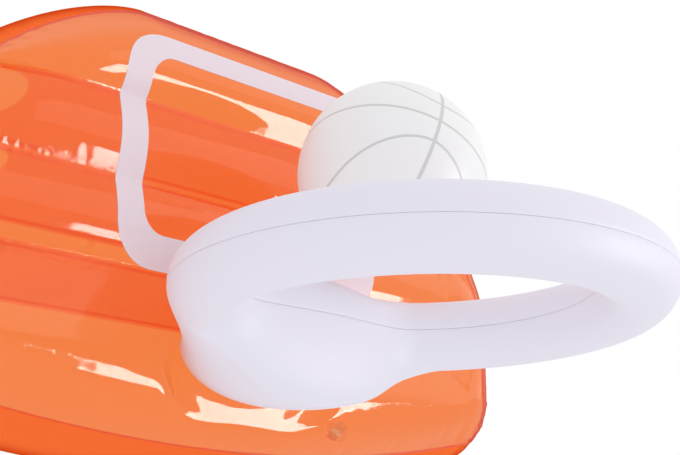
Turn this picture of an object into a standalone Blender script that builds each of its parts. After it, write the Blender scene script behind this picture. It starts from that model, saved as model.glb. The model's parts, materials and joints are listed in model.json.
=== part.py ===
"""Inflatable basketball hoop for a swimming pool.

A channelled air board, welded from two films over three inner webs, carries a
horizontal air ring on a pad. Each chamber has a push-in air valve with a hinged
stopper and a non-return flap. A hollow moulded ball flies above the ring.

Metres, +Z up. The board stands on its flat foot strip at Z = 0 and faces -Y, and
+X is to the right as seen from the front. The origin is the middle of the floor
under the whole object.
"""

import math
from math import cos, pi, radians, sin, sqrt

import bmesh
import bpy
import numpy as np
from mathutils import Matrix, Vector

# Films and fits
FILM = 0.0004
GAP = 0.0003
LIP = 0.003

# Board
BOARD_WIDTH = 0.8484
BOARD_HEIGHT = 0.512
BOARD_THICKNESS = 0.198
TOP_CORNER_WIDTH = 0.2985
TOP_CORNER_HEIGHT = 0.2859
TOP_CORNER_POWER = 1.5
BOTTOM_CORNER = 0.064
BOTTOM_ARCH = 0.0528
EDGE_ROLL = 0.095
WELD_TURN = radians(40.6)
FOOT_DEPTH = 0.0005

# Welded seams and the webs behind them
SEAM_COUNT = 3
SEAM_SPACING = 0.090
LOWEST_SEAM = 0.1879
SEAM_LENGTH = 0.600
SEAM_BAND = 0.0064
CHANNEL_SWELL = 0.008
END_CHANNEL_SWELL = 0.015
END_CHANNEL_LEAN = 0.8
SIDE_SWELL = 0.012
SIDE_FADE = 0.070
WEB_END_HOLLOW = 0.084
WEB_EDGE_STRIP = 0.004

# Ring and the pad that ties it to the board
RING_RADIUS = 0.1944
TUBE_RADIUS = 0.036
RING_HEIGHT = 0.1411
RING_STANDOFF = 0.020
PAD_WIDTH = 0.226
PAD_HEIGHT = 0.112
PAD_DROP = 0.0190
PAD_SPREAD = radians(29.0)
PAD_UPPER_SWELL = 0.005
PAD_LOWER_SWELL = 0.014
PAD_GROWTH = 0.85
PAD_SEAT_ACROSS = 0.026
PAD_SEAT_UP = 0.018
PAD_SEAT_FADE = 0.45

# Air valves
VALVE_BORE = 0.0042
VALVE_WALL = 0.0018
VALVE_FIT = 0.0004
VALVE_RISE = 0.009
VALVE_INSET = 0.005
VALVE_RIM = 0.0011
VALVE_RIM_HEIGHT = 0.0012
VALVE_FLANGE = 0.015
VALVE_FLANGE_THICKNESS = 0.0010
VALVE_COLLAR_WALL = 0.0020
VALVE_COLLAR_DEPTH = 0.014
STOPPER_CAP = 0.0062
STOPPER_CAP_HEIGHT = 0.0016
STOPPER_PIN_LENGTH = 0.0045
STOPPER_PIN_TAPER = 0.0006
STOPPER_HINGE = 0.0098
STOPPER_STRAP_WIDTH = 0.0042
STOPPER_STRAP_HEIGHT = 0.0009
FLAP_RADIUS = 0.0052
FLAP_THICKNESS = 0.0005
BOARD_VALVE_FROM_SIDE = 0.1182
BOARD_VALVE_HEIGHT = 0.0900
RING_VALVE_TURN = radians(-45.0)
SEAT_MARGIN = 0.004

# Ball
BALL_DIAMETER = 0.191
BALL_SKIN = 0.0015
BALL_ACROSS = 0.038
BALL_BEHIND_RING_CENTRE = 0.073
BALL_ABOVE_RING = 0.140
BALL_PLUG_RADIUS = 0.0035
BALL_PLUG_FLANGE = 0.0065
BALL_PLUG_FLANGE_THICKNESS = 0.0012
BALL_PLUG_FIT = 0.0004
BALL_PLUG_RECESS = 0.0005
BALL_FACET_ALLOWANCE = 0.0003
BALL_PLUG_AXIS = (-0.5, 0.62, 0.60)

# Facets
SIDE_COLUMNS = 5
MIDDLE_COLUMNS = 8
CHANNEL_ROWS = 4
TOP_ROWS = 6
BOTTOM_ROWS = 6
WRAP_STEPS = 4
PAD_SEGMENTS = 12
RING_SEGMENTS = 44
TUBE_STEPS = 8
VALVE_SEGMENTS = 16
WEB_END_SEGMENTS = 32
BALL_SEGMENTS = 28
BALL_RINGS = 14

# Worked out from the sizes above
HALF_WIDTH = BOARD_WIDTH / 2
MIDDLE = BOARD_THICKNESS / 2
WELD_INSET = EDGE_ROLL * (1.0 - cos(WELD_TURN))
SEAMS = [LOWEST_SEAM + i * SEAM_SPACING for i in range(SEAM_COUNT)]
RING_CENTRE = Vector((0.0, -(RING_STANDOFF + RING_RADIUS + TUBE_RADIUS), RING_HEIGHT))
PAD_SEAT = -(GAP + FILM + GAP)
PAD_CENTRE_HEIGHT = RING_HEIGHT - PAD_DROP
BOARD_BACK = BOARD_THICKNESS + max(END_CHANNEL_SWELL, SIDE_SWELL)
BOARD_SHIFT = -(BOARD_BACK + RING_CENTRE.y - RING_RADIUS - TUBE_RADIUS) / 2
STEM_RADIUS = VALVE_BORE + VALVE_WALL
COLLAR_BORE = STEM_RADIUS + VALVE_FIT

COLOURS = {
    "orange_film": ((0.93, 0.20, 0.04), 0.22),
    "white_vinyl": ((0.82, 0.80, 0.85), 0.30),
    "clear_valve": ((0.80, 0.82, 0.84), 0.25),
    "ball_vinyl": ((0.84, 0.84, 0.85), 0.35),
}


def material(name):
    """Principled material of one of the named colours."""
    found = bpy.data.materials.get(name)
    if found:
        return found
    colour, roughness = COLOURS[name]
    made = bpy.data.materials.new(name)
    made.use_nodes = True
    made.diffuse_color = (*colour, 1.0)
    shader = made.node_tree.nodes["Principled BSDF"]
    shader.inputs["Base Color"].default_value = (*colour, 1.0)
    shader.inputs["Roughness"].default_value = roughness
    shader.inputs["Metallic"].default_value = 0.0
    return made


def add_object(name, bm, material_name, parent, smooth=35.0):
    """Object made from a finished bmesh, with its material and parent."""
    mesh = bpy.data.meshes.new(name)
    bm.to_mesh(mesh)
    bm.free()
    mesh.shade_smooth()
    mesh.set_sharp_from_angle(angle=radians(smooth))
    mesh.materials.append(material(material_name))
    obj = bpy.data.objects.new(name, mesh)
    bpy.context.scene.collection.objects.link(obj)
    obj.parent = parent
    return obj


def add_empty(name, location, axis, parent):
    """Empty at a place, with its local +Z along an axis."""
    obj = bpy.data.objects.new(name, None)
    bpy.context.scene.collection.objects.link(obj)
    obj.parent = parent
    obj.empty_display_size = TUBE_RADIUS
    obj.location = location
    obj.rotation_euler = Vector((0.0, 0.0, 1.0)).rotation_difference(Vector(axis)).to_euler()
    return obj


def add_wall(obj, thickness):
    """Gives a film its thickness, on its inner side."""
    wall = obj.modifiers.new("Film", "SOLIDIFY")
    wall.thickness = thickness
    wall.offset = -1.0
    wall.use_even_offset = True
    wall.use_quality_normals = True


def cut_with(obj, cutter):
    """Cuts a helper's shape out of an object."""
    cutter.hide_render = True
    cutter.display_type = "WIRE"
    cut = obj.modifiers.new("Cut " + cutter.name, "BOOLEAN")
    cut.operation = "DIFFERENCE"
    cut.solver = "EXACT"
    cut.object = cutter


def smoothstep(t):
    """0 before 0 and 1 after 1, with a soft start and end between them."""
    t = min(max(t, 0.0), 1.0)
    return t * t * (3.0 - 2.0 * t)


def lerp(a, b, t):
    """Value at a share of the way from one to another."""
    return a + (b - a) * t


def face_outward(bm, inner_point):
    """Turns every face of an open sheet so that the sheet faces away from a point inside."""
    bm.normal_update()
    outward = sum(f.normal.dot(f.calc_center_median() - inner_point(f)) * f.calc_area() for f in bm.faces)
    if outward < 0:
        bmesh.ops.reverse_faces(bm, faces=bm.faces[:])
    bm.normal_update()


def turned(name, profile, material_name, parent, segments):
    """Solid of revolution about local +Z from a closed outline of (radius, height) points."""
    bm = bmesh.new()
    corners = [bm.verts.new((r, 0.0, z)) for r, z in profile]
    edges = [bm.edges.new((a, b)) for a, b in zip(corners, corners[1:])]
    if profile[0][0] > 0.0:
        edges.append(bm.edges.new((corners[-1], corners[0])))
    bmesh.ops.spin(
        bm, geom=corners + edges, axis=(0, 0, 1), cent=(0, 0, 0), angle=2 * pi, steps=segments
    )
    bmesh.ops.remove_doubles(bm, verts=bm.verts[:], dist=1e-6)
    bmesh.ops.recalc_face_normals(bm, faces=bm.faces[:])
    return add_object(name, bm, material_name, parent)


# Board

def top_edge(x, inset=0.0):
    """Height above the place x of the board's outline, or of a line drawn in from it by an inset."""
    past = abs(x) - (HALF_WIDTH - TOP_CORNER_WIDTH)
    if past <= 0.0:
        return BOARD_HEIGHT - inset
    share = past / (TOP_CORNER_WIDTH - inset)
    fall = max(1.0 - share**TOP_CORNER_POWER, 0.0) ** (1.0 / TOP_CORNER_POWER)
    return BOARD_HEIGHT - TOP_CORNER_HEIGHT + (TOP_CORNER_HEIGHT - inset) * fall


def bottom_edge(x, inset=0.0):
    """Height of the board's lower outline, a shallow arch that ends in round corners."""
    height = BOTTOM_ARCH * (x / HALF_WIDTH) ** 2 - FOOT_DEPTH + inset
    past = abs(x) - (HALF_WIDTH - BOTTOM_CORNER)
    if past > 0.0:
        corner = BOTTOM_CORNER - inset
        height += corner - sqrt(max(corner**2 - past**2, 0.0))
    return height


def outline_points(count=160):
    """The board's outline as points, for measuring the distance to it."""
    turn = np.sin(np.linspace(-pi / 2, pi / 2, count))
    across = [float(t) * HALF_WIDTH for t in turn]
    upper = [(x, top_edge(x)) for x in across]
    lower = [(x, bottom_edge(x)) for x in reversed(across)]
    return np.array(upper + lower)


OUTLINE = outline_points()


def edge_distance(x, z):
    """Distance from a point of the board to its outline."""
    start = OUTLINE
    step = np.roll(OUTLINE, -1, axis=0) - start
    offset = np.array((x, z)) - start
    length = np.maximum((step**2).sum(axis=1), 1e-12)
    t = np.clip((offset * step).sum(axis=1) / length, 0.0, 1.0)
    near = offset - step * t[:, None]
    return float(np.sqrt((near**2).sum(axis=1).min()))


def column_places(inset):
    """Places across a film: even between the seam ends, closer together towards the sides."""
    seam_end = SEAM_LENGTH / 2
    reach = HALF_WIDTH - inset - seam_end
    middle = [seam_end * i / MIDDLE_COLUMNS for i in range(MIDDLE_COLUMNS + 1)]
    side = [seam_end + reach * sin(pi / 2 * i / SIDE_COLUMNS) for i in range(1, SIDE_COLUMNS + 1)]
    right = middle + side
    return [-x for x in reversed(right[1:])] + right


def row_places():
    """Rows from the bottom up, each as (knot below, knot above, share, channel, place in it).

    The knots are the lower outline, the lower and upper edge of each seam, and the upper outline.
    """
    rows = [(0, 1, 0.0, None, 0.0)]
    for i in range(1, BOTTOM_ROWS + 1):
        share = 1.0 - cos(pi / 2 * i / BOTTOM_ROWS)
        rows.append((0, 1, share, "end", 1.0 - share))
    for seam in range(SEAM_COUNT):
        knot = 1 + 2 * seam
        rows.append((knot, knot + 1, 1.0, None, 0.0))
        if seam < SEAM_COUNT - 1:
            for i in range(1, CHANNEL_ROWS + 1):
                share = i / CHANNEL_ROWS
                rows.append((knot + 1, knot + 2, share, "middle", share))
    knot = 2 * SEAM_COUNT
    for i in range(1, TOP_ROWS + 1):
        share = sin(pi / 2 * i / TOP_ROWS)
        rows.append((knot, knot + 1, share, "end", share))
    return rows


def knot_heights(x, inset):
    """Heights of the rows' knots at a place across a film that is drawn in by an inset."""
    low, high = bottom_edge(x, inset), top_edge(x, inset)
    seam_end = SEAM_LENGTH / 2
    spread = smoothstep((abs(x) - seam_end) / (HALF_WIDTH - inset - seam_end))
    heights = [low]
    for seam in SEAMS:
        for side in (-SEAM_BAND / 2, SEAM_BAND / 2):
            level = seam + side
            heights.append(lerp(level, lerp(low, high, level / BOARD_HEIGHT), spread))
    return heights + [high]


def swell_of(x, channel, share):
    """How far the film stands out past its seams."""
    if channel == "middle":
        swell = CHANNEL_SWELL * sin(pi * share)
    elif channel == "end":
        swell = END_CHANNEL_SWELL * sin(pi * min(share, 1.0) ** END_CHANNEL_LEAN)
    else:
        swell = 0.0
    return lerp(swell, SIDE_SWELL, smoothstep((abs(x) - SEAM_LENGTH / 2) / SIDE_FADE))


def half_thickness(x, z, channel, share):
    """Distance from the board's middle plane to its film."""
    share_in = min(edge_distance(x, z) / EDGE_ROLL, 1.0)
    return (MIDDLE + swell_of(x, channel, share)) * sqrt(1.0 - (1.0 - share_in) ** 2)


def pad_ease(x, z):
    """0 where the pad lies on the board's film, rising to 1 away from it."""
    across = x / (PAD_WIDTH / 2 + PAD_SEAT_ACROSS)
    up = (z - PAD_CENTRE_HEIGHT) / (PAD_HEIGHT / 2 + PAD_SEAT_UP)
    return smoothstep((sqrt(across**2 + up**2) - 1.0) / PAD_SEAT_FADE)


def film_point(x, row, inset, facing):
    """Point of a film at a place across it and a row, the whole film drawn in by an inset."""
    below, above, share, channel, place = row
    knots = knot_heights(x, inset)
    z = lerp(knots[below], knots[above], share)
    y = MIDDLE + facing * half_thickness(x, z, channel, place)
    if facing < 0:
        y *= pad_ease(x, z)
    return Vector((x, y, max(z, 0.0)))


def border_places(row_count, column_count):
    """Row and column numbers once round a film's edge."""
    top, right = row_count - 1, column_count - 1
    foot = [(0, i) for i in range(right)]
    head = [(top, i) for i in range(right, 0, -1)]
    return foot + [(j, right) for j in range(top)] + head + [(j, 0) for j in range(top, 0, -1)]


def board_sheet(facing):
    """One of the board's two films. The back one (1) goes on round the rolled edge to the weld."""
    inset = WELD_INSET if facing < 0 else 0.0
    columns = column_places(inset)
    rows = row_places()
    bm = bmesh.new()
    grid = [[bm.verts.new(film_point(x, row, inset, facing)) for x in columns] for row in rows]
    for row, lower, upper in zip(rows[1:], grid, grid[1:]):
        on_seam = row[3] is None
        for i in range(len(columns) - 1):
            if on_seam:
                bm.faces.new((lower[i], lower[i + 1], upper[i + 1]))
                bm.faces.new((lower[i], upper[i + 1], upper[i]))
            else:
                bm.faces.new((lower[i], lower[i + 1], upper[i + 1], upper[i]))
    border = border_places(len(rows), len(columns))
    edge = [grid[j][i] for j, i in border]
    if facing > 0:
        foot_strip(bm, grid)
        edge = wrap_edge(bm, edge, border, rows)
    face_outward(bm, lambda f: Vector((f.calc_center_median().x, MIDDLE, f.calc_center_median().z)))
    board_lip(bm, edge, border, rows)
    return bm


def foot_width():
    """Half the depth of the flat strip on which the board stands."""
    return sqrt(2.0 * EDGE_ROLL * FOOT_DEPTH)


def foot_strip(bm, grid):
    """Flattens the back film's lowest strip, behind the outline."""
    edges = [e for v in grid[0] for e in v.link_edges if e.other_vert(v) in grid[1]]
    strip = MIDDLE + foot_width()
    for edge in edges:
        start = edge.verts[0] if edge.verts[0] in grid[0] else edge.verts[1]
        if start.co.z > 0.0:
            continue
        _, new = bmesh.utils.edge_split(edge, start, 0.5)
        new.co = Vector((start.co.x, strip, 0.0))
    odd = [f for f in bm.faces if len(f.verts) > 4]
    for face in odd:
        inner = [v for v in face.verts if abs(v.co.y - strip) < 1e-7 and v.co.z == 0.0]
        if len(inner) == 2:
            bmesh.utils.face_split(face, inner[0], inner[1])


def wrap_edge(bm, edge, border, rows):
    """Carries the back film from the outline round the rolled edge to the weld before it."""
    for step in range(1, WRAP_STEPS + 1):
        inset = EDGE_ROLL * (1.0 - cos(WELD_TURN * step / WRAP_STEPS))
        if step == WRAP_STEPS:
            inset = WELD_INSET - GAP
        columns = column_places(inset)
        ring = []
        for (j, i), start in zip(border, edge):
            point = film_point(columns[i], rows[j], inset, -1)
            if step == 1 and start.co.z <= 0.0:
                point = Vector((start.co.x, MIDDLE - foot_width(), 0.0))
            ring.append(bm.verts.new(point))
        for k in range(len(ring)):
            bm.faces.new((edge[k], edge[k - 1], ring[k - 1], ring[k]))
        edge = ring
    return edge


def board_lip(bm, edge, border, rows):
    """Turns a film's edge in, to the strip that is welded to the other film."""
    outer = column_places(0.0)
    inner = column_places(WELD_INSET)
    heading = {}
    for (j, i), vert in zip(border, edge):
        inward = film_point(inner[i], rows[j], WELD_INSET, 1) - film_point(outer[i], rows[j], 0.0, 1)
        inward.y = 0.0
        back = Vector((0.0, sin(WELD_TURN), 0.0))
        heading[vert] = inward.normalized() * cos(WELD_TURN) + back
    made = bmesh.ops.extrude_edge_only(bm, edges=[e for e in bm.edges if e.is_boundary])
    for vert in [v for v in made["geom"] if isinstance(v, bmesh.types.BMVert)]:
        start = next(e.other_vert(vert) for e in vert.link_edges if e.other_vert(vert) in heading)
        vert.co = start.co + heading[start] * LIP
    bm.normal_update()


def board_valve_seat():
    """Place and outward direction of the valve on the board's back film."""
    x, z = HALF_WIDTH - BOARD_VALVE_FROM_SIDE, BOARD_VALVE_HEIGHT
    step = SEAT_MARGIN

    def depth(across, up):
        share = (up - bottom_edge(across)) / (LOWEST_SEAM - bottom_edge(across))
        return half_thickness(across, up, "end", 1.0 - share)

    slope_x = (depth(x + step, z) - depth(x - step, z)) / (2 * step)
    slope_z = (depth(x, z + step) - depth(x, z - step)) / (2 * step)
    return Vector((x, MIDDLE + depth(x, z), z)), Vector((-slope_x, 1.0, -slope_z)).normalized()


def flatten_seat(bm, place, normal):
    """Draws the film flat round a valve: a vertex at its middle and its eight neighbours."""
    middle = min(bm.verts, key=lambda v: (v.co - place).length)
    around = {v for f in middle.link_faces for v in f.verts if v is not middle}
    middle.co = place
    side = normal.orthogonal().normalized()
    up = normal.cross(side)
    radius = VALVE_FLANGE + SEAT_MARGIN
    reach = sorted(around, key=lambda v: math.atan2((v.co - place).dot(up), (v.co - place).dot(side)))
    first = reach[0].co - place
    start = math.atan2(first.dot(up), first.dot(side))
    for i, vert in enumerate(reach):
        turn = start + 2 * pi * i / len(reach)
        vert.co = place + radius * (cos(turn) * side + sin(turn) * up)
    bm.normal_update()


def web_edge(x, z):
    """Distance from the middle plane to the inner side of the film, less the gap of a weld."""
    step = GAP
    half = half_thickness(x, z, None, 0.0)
    across = (half_thickness(x + step, z, None, 0.0) - half) / step
    up = (half_thickness(x, z + step, None, 0.0) - half) / step
    return half - (FILM + GAP) * sqrt(1.0 + across**2 + up**2)


def web(name, seam, parent):
    """Inner film that ties the two sheets together, with a weld strip on each edge and hollowed ends."""
    half_band = SEAM_BAND / 2
    half_film = FILM / 2
    seam_end = SEAM_LENGTH / 2
    places = [x for x in column_places(0.0) if abs(x) < seam_end + GAP]
    places[0] += GAP
    places[-1] -= GAP
    bm = bmesh.new()
    sections = []
    for x in places:
        low, high = web_edge(x, seam - half_band), web_edge(x, seam + half_band)
        middle = min(low, high) - FILM
        under = [(low, -half_band), (low - FILM, -half_band), (middle, -half_film)]
        over = [(high, half_band), (high - FILM, half_band), (middle, half_film)]
        lower = [(-y, z) for y, z in under] + [(y, z) for y, z in reversed(under)]
        upper = [(y, z) for y, z in over] + [(-y, z) for y, z in reversed(over)]
        sections.append([bm.verts.new((x, MIDDLE + y, seam + z)) for y, z in lower + upper])
    for a, b in zip(sections, sections[1:]):
        for k in range(len(a)):
            low, high = sorted((k - 1, k), key=lambda i: a[i].co.z)
            bm.faces.new((a[low], b[low], b[high]))
            bm.faces.new((a[low], b[high], a[high]))
    bm.faces.new(sections[0])
    bm.faces.new(sections[-1])
    bmesh.ops.recalc_face_normals(bm, faces=bm.faces[:])
    film = add_object(name, bm, "orange_film", parent)
    reach = web_edge(seam_end, seam) - WEB_EDGE_STRIP
    for side in (-1, 1):
        cut_with(film, web_end(f"{name}_end_{side + 2}", side * seam_end, seam, reach, parent))
    return film


def web_end(name, x, seam, reach, parent):
    """Upright oval cutter that hollows a web's free end, where the film is drawn in."""
    bm = bmesh.new()
    bmesh.ops.create_cone(
        bm, cap_ends=True, segments=WEB_END_SEGMENTS, radius1=1.0, radius2=1.0, depth=3 * SEAM_BAND
    )
    bmesh.ops.scale(bm, vec=(WEB_END_HOLLOW, reach, 1.0), verts=bm.verts[:])
    bmesh.ops.translate(bm, vec=(x, MIDDLE, seam), verts=bm.verts[:])
    return add_object(name, bm, "orange_film", parent)


# Ring and pad

def ring_turns():
    """Angles round the ring from its rear, finer across the pad."""
    pad = [lerp(-PAD_SPREAD, PAD_SPREAD, i / PAD_SEGMENTS) for i in range(PAD_SEGMENTS + 1)]
    rest = 2 * pi - 2 * PAD_SPREAD
    ring = [PAD_SPREAD + rest * i / RING_SEGMENTS for i in range(1, RING_SEGMENTS)]
    return pad + ring


def around_ring(turn, radius, height):
    """Point at an angle from the ring's rear, at a radius and a height over its plane."""
    return RING_CENTRE + Vector((radius * sin(turn), radius * cos(turn), height))


def pad_rim(turn, side, share=1.0):
    """Point of the pad's welded outline, which the film reaches at an angle round the ring."""
    swing = turn / PAD_SPREAD * pi / 2
    return Vector((
        share * PAD_WIDTH / 2 * sin(swing),
        PAD_SEAT,
        PAD_CENTRE_HEIGHT + side * (GAP / 2 + share * PAD_HEIGHT / 2 * cos(swing)),
    ))


def tube_point(turn, share, side):
    """Point of the ring's round section, from its inner seam (share 0) to its outer seam (share 1)."""
    radius = RING_RADIUS - TUBE_RADIUS * cos(pi * share)
    return around_ring(turn, radius, side * (GAP / 2 + TUBE_RADIUS * sin(pi * share)))


def pad_point(turn, share, side):
    """Point of the section that grows from the ring's inner seam out to the pad's rim."""
    tube = tube_point(turn, share, side)
    outer = tube_point(turn, 1.0, side)
    rim = pad_rim(turn, side)
    weight = smoothstep(share / PAD_GROWTH)
    swell = PAD_UPPER_SWELL if side > 0 else PAD_LOWER_SWELL
    point = tube + (rim - outer) * weight
    point.z = lerp(tube.z, rim.z, weight) + side * swell * sin(pi * share)
    return point


def ring_sheet_mesh(side):
    """Upper (side 1) or lower (side -1) film of the ring, drawn out at the rear into the pad."""
    bm = bmesh.new()
    turns = ring_turns()
    lines = []
    for turn in turns:
        on_pad = abs(turn) <= PAD_SPREAD + 1e-9
        outer = around_ring(turn, RING_RADIUS + TUBE_RADIUS, side * GAP / 2)
        line = [tube_point(turn, k / TUBE_STEPS, side) for k in range(TUBE_STEPS + 1)]
        if on_pad:
            line = [pad_point(turn, k / TUBE_STEPS, side) for k in range(TUBE_STEPS + 1)]
        inner_lip = around_ring(turn, RING_RADIUS - TUBE_RADIUS + LIP, side * GAP / 2)
        if on_pad:
            inset = 1.0 - 2 * LIP / PAD_WIDTH
            outer_lip = pad_rim(turn, side, inset)
            if abs(turn) < PAD_SPREAD - 1e-9:
                outer_lip = pad_rim(turn, side, 1.0 - 2 * LIP / PAD_HEIGHT)
        else:
            outer_lip = around_ring(turn, RING_RADIUS + TUBE_RADIUS - LIP, side * GAP / 2)
        lines.append([bm.verts.new(p) for p in [inner_lip] + line + [outer_lip]])
    for a, b in zip(lines, lines[1:] + lines[:1]):
        for k in range(len(a) - 1):
            bm.faces.new((a[k], a[k + 1], b[k + 1], b[k]))

    def tube_middle(face):
        out = face.calc_center_median() - RING_CENTRE
        out.z = 0.0
        return RING_CENTRE + out.normalized() * RING_RADIUS

    face_outward(bm, tube_middle)
    return bm


def pad_patch(parent):
    """Film disc that closes the pad and is welded to the board's front."""
    bm = bmesh.new()
    rim = [pad_rim(lerp(-PAD_SPREAD, PAD_SPREAD, i / PAD_SEGMENTS), 1.0) for i in range(PAD_SEGMENTS + 1)]
    rim += [pad_rim(lerp(PAD_SPREAD, -PAD_SPREAD, i / PAD_SEGMENTS), -1.0) for i in range(PAD_SEGMENTS + 1)]
    face = bm.faces.new([bm.verts.new((p.x, -GAP - FILM, p.z)) for p in rim])
    made = bmesh.ops.extrude_face_region(bm, geom=[face])
    moved = [v for v in made["geom"] if isinstance(v, bmesh.types.BMVert)]
    bmesh.ops.translate(bm, verts=moved, vec=(0.0, FILM, 0.0))
    bmesh.ops.recalc_face_normals(bm, faces=bm.faces[:])
    return add_object("ring_pad_patch", bm, "white_vinyl", parent)


# Air valves

def valve(prefix, place, axis, parent):
    """Push-in air valve: flange with collar, sliding stem, hinged stopper and non-return flap."""
    seat = add_empty(prefix + "_valve_axis", place, axis, parent)
    under = -FILM - GAP
    collar = COLLAR_BORE + VALVE_COLLAR_WALL
    turned(
        prefix + "_valve_flange",
        [
            (COLLAR_BORE, under),
            (COLLAR_BORE, -VALVE_COLLAR_DEPTH),
            (collar, -VALVE_COLLAR_DEPTH),
            (collar, under - VALVE_FLANGE_THICKNESS),
            (VALVE_FLANGE, under - VALVE_FLANGE_THICKNESS),
            (VALVE_FLANGE, under),
        ],
        "clear_valve",
        seat,
        VALVE_SEGMENTS,
    )
    rim = STEM_RADIUS + VALVE_RIM
    turned(
        prefix + "_valve_stem",
        [
            (VALVE_BORE, VALVE_RISE),
            (VALVE_BORE, -VALVE_INSET),
            (STEM_RADIUS, -VALVE_INSET),
            (STEM_RADIUS, VALVE_RISE - VALVE_RIM_HEIGHT),
            (rim, VALVE_RISE - VALVE_RIM_HEIGHT),
            (rim, VALVE_RISE),
        ],
        "clear_valve",
        seat,
        VALVE_SEGMENTS,
    )
    stopper(prefix, seat)
    flap = turned(
        prefix + "_valve_flap",
        [
            (0.0, 0.0),
            (FLAP_RADIUS, 0.0),
            (FLAP_RADIUS, -FLAP_THICKNESS),
            (0.0, -FLAP_THICKNESS),
        ],
        "clear_valve",
        seat,
        VALVE_SEGMENTS,
    )
    flap.data.transform(Matrix.Translation((FLAP_RADIUS, 0.0, 0.0)))
    flap.location = (-FLAP_RADIUS, 0.0, -VALVE_INSET - GAP)
    return seat


def stopper(prefix, seat):
    """Stopper cap with a tapered pin, on a strap that hinges beside the stem."""
    pin = VALVE_BORE - GAP
    top = GAP + STOPPER_CAP_HEIGHT
    cap = turned(
        prefix + "_valve_stopper",
        [
            (0.0, -STOPPER_PIN_LENGTH),
            (pin - STOPPER_PIN_TAPER, -STOPPER_PIN_LENGTH),
            (pin, GAP),
            (STOPPER_CAP, GAP),
            (STOPPER_CAP, top - GAP),
            (STOPPER_CAP - GAP, top),
            (0.0, top),
        ],
        "clear_valve",
        seat,
        VALVE_SEGMENTS,
    )
    cap.data.transform(Matrix.Translation((STOPPER_HINGE, 0.0, 0.0)))
    cap.location = (-STOPPER_HINGE, 0.0, VALVE_RISE)
    bm = bmesh.new()
    bmesh.ops.create_cube(bm, size=1.0)
    length = STOPPER_HINGE - STOPPER_CAP + STOPPER_STRAP_WIDTH / 2
    bmesh.ops.scale(bm, vec=(length, STOPPER_STRAP_WIDTH, STOPPER_STRAP_HEIGHT), verts=bm.verts[:])
    lift = 2 * GAP + STOPPER_STRAP_HEIGHT / 2
    bmesh.ops.translate(bm, vec=(length / 2, 0.0, lift), verts=bm.verts[:])
    strap = add_object(prefix + "_stopper_strap_shape", bm, "clear_valve", cap)
    strap.hide_render = True
    strap.display_type = "WIRE"
    join = cap.modifiers.new("Strap", "BOOLEAN")
    join.operation = "UNION"
    join.solver = "EXACT"
    join.object = strap


def film_hole(prefix, seat, reach):
    """Round cutter through the film for the valve's stem."""
    bm = bmesh.new()
    bmesh.ops.create_cone(
        bm,
        cap_ends=True,
        segments=VALVE_SEGMENTS,
        radius1=COLLAR_BORE,
        radius2=COLLAR_BORE,
        depth=2 * reach,
    )
    return add_object(prefix + "_valve_hole", bm, "clear_valve", seat)


# Ball

def ball(parent):
    """Hollow ball with its valve plug, the plug's axis turned to the back of the flight."""
    place = RING_CENTRE + Vector((BALL_ACROSS, BALL_BEHIND_RING_CENTRE, BALL_ABOVE_RING))
    axis = add_empty("ball_axis", place, BALL_PLUG_AXIS, parent)
    bm = bmesh.new()
    bmesh.ops.create_uvsphere(
        bm, u_segments=BALL_SEGMENTS, v_segments=BALL_RINGS, radius=BALL_DIAMETER / 2
    )
    skin = add_object("ball_skin", bm, "ball_vinyl", axis)
    add_wall(skin, BALL_SKIN)
    bm = bmesh.new()
    hole = BALL_PLUG_RADIUS + BALL_PLUG_FIT
    bmesh.ops.create_cone(
        bm, cap_ends=True, segments=VALVE_SEGMENTS, radius1=hole, radius2=hole, depth=2 * BALL_PLUG_FLANGE
    )
    cutter = add_object("ball_hole", bm, "ball_vinyl", axis)
    cutter.location = (0.0, 0.0, BALL_DIAMETER / 2)
    cut_with(skin, cutter)
    crown = BALL_DIAMETER / 2
    slope = BALL_PLUG_FLANGE * math.tan(pi / BALL_RINGS)
    shoulder = crown - BALL_SKIN - BALL_FACET_ALLOWANCE - slope - GAP
    turned(
        "ball_valve",
        [
            (0.0, shoulder - BALL_PLUG_FLANGE_THICKNESS),
            (BALL_PLUG_FLANGE, shoulder - BALL_PLUG_FLANGE_THICKNESS),
            (BALL_PLUG_FLANGE, shoulder),
            (BALL_PLUG_RADIUS, shoulder),
            (BALL_PLUG_RADIUS, crown - BALL_PLUG_RECESS),
            (0.0, crown - BALL_PLUG_RECESS),
        ],
        "clear_valve",
        axis,
        VALVE_SEGMENTS,
    )


def build():
    """Clears the scene and builds every piece."""
    for old in list(bpy.data.objects):
        bpy.data.objects.remove(old, do_unlink=True)
    hoop = add_empty("hoop", (0.0, BOARD_SHIFT, 0.0), (0.0, 0.0, 1.0), None)

    valve_place, valve_axis = board_valve_seat()
    front = add_object("board_front_sheet", board_sheet(-1), "orange_film", hoop)
    add_wall(front, FILM)
    back_mesh = board_sheet(1)
    flatten_seat(back_mesh, valve_place, valve_axis)
    back = add_object("board_back_sheet", back_mesh, "orange_film", hoop)
    add_wall(back, FILM)
    for place, seam in zip(("lower", "middle", "upper"), SEAMS):
        web(f"board_web_{place}", seam, hoop)
    seat = valve("board", valve_place, valve_axis, hoop)
    cut_with(back, film_hole("board", seat, VALVE_INSET))

    upper_mesh = ring_sheet_mesh(1)
    ring_place = around_ring(RING_VALVE_TURN, RING_RADIUS, TUBE_RADIUS + GAP / 2)
    flatten_seat(upper_mesh, ring_place, Vector((0.0, 0.0, 1.0)))
    upper = add_object("ring_upper_sheet", upper_mesh, "white_vinyl", hoop)
    add_wall(upper, FILM)
    lower = add_object("ring_lower_sheet", ring_sheet_mesh(-1), "white_vinyl", hoop)
    add_wall(lower, FILM)
    pad_patch(hoop)
    seat = valve("ring", ring_place, (0.0, 0.0, 1.0), hoop)
    cut_with(upper, film_hole("ring", seat, VALVE_INSET))

    ball(hoop)


build()
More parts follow.
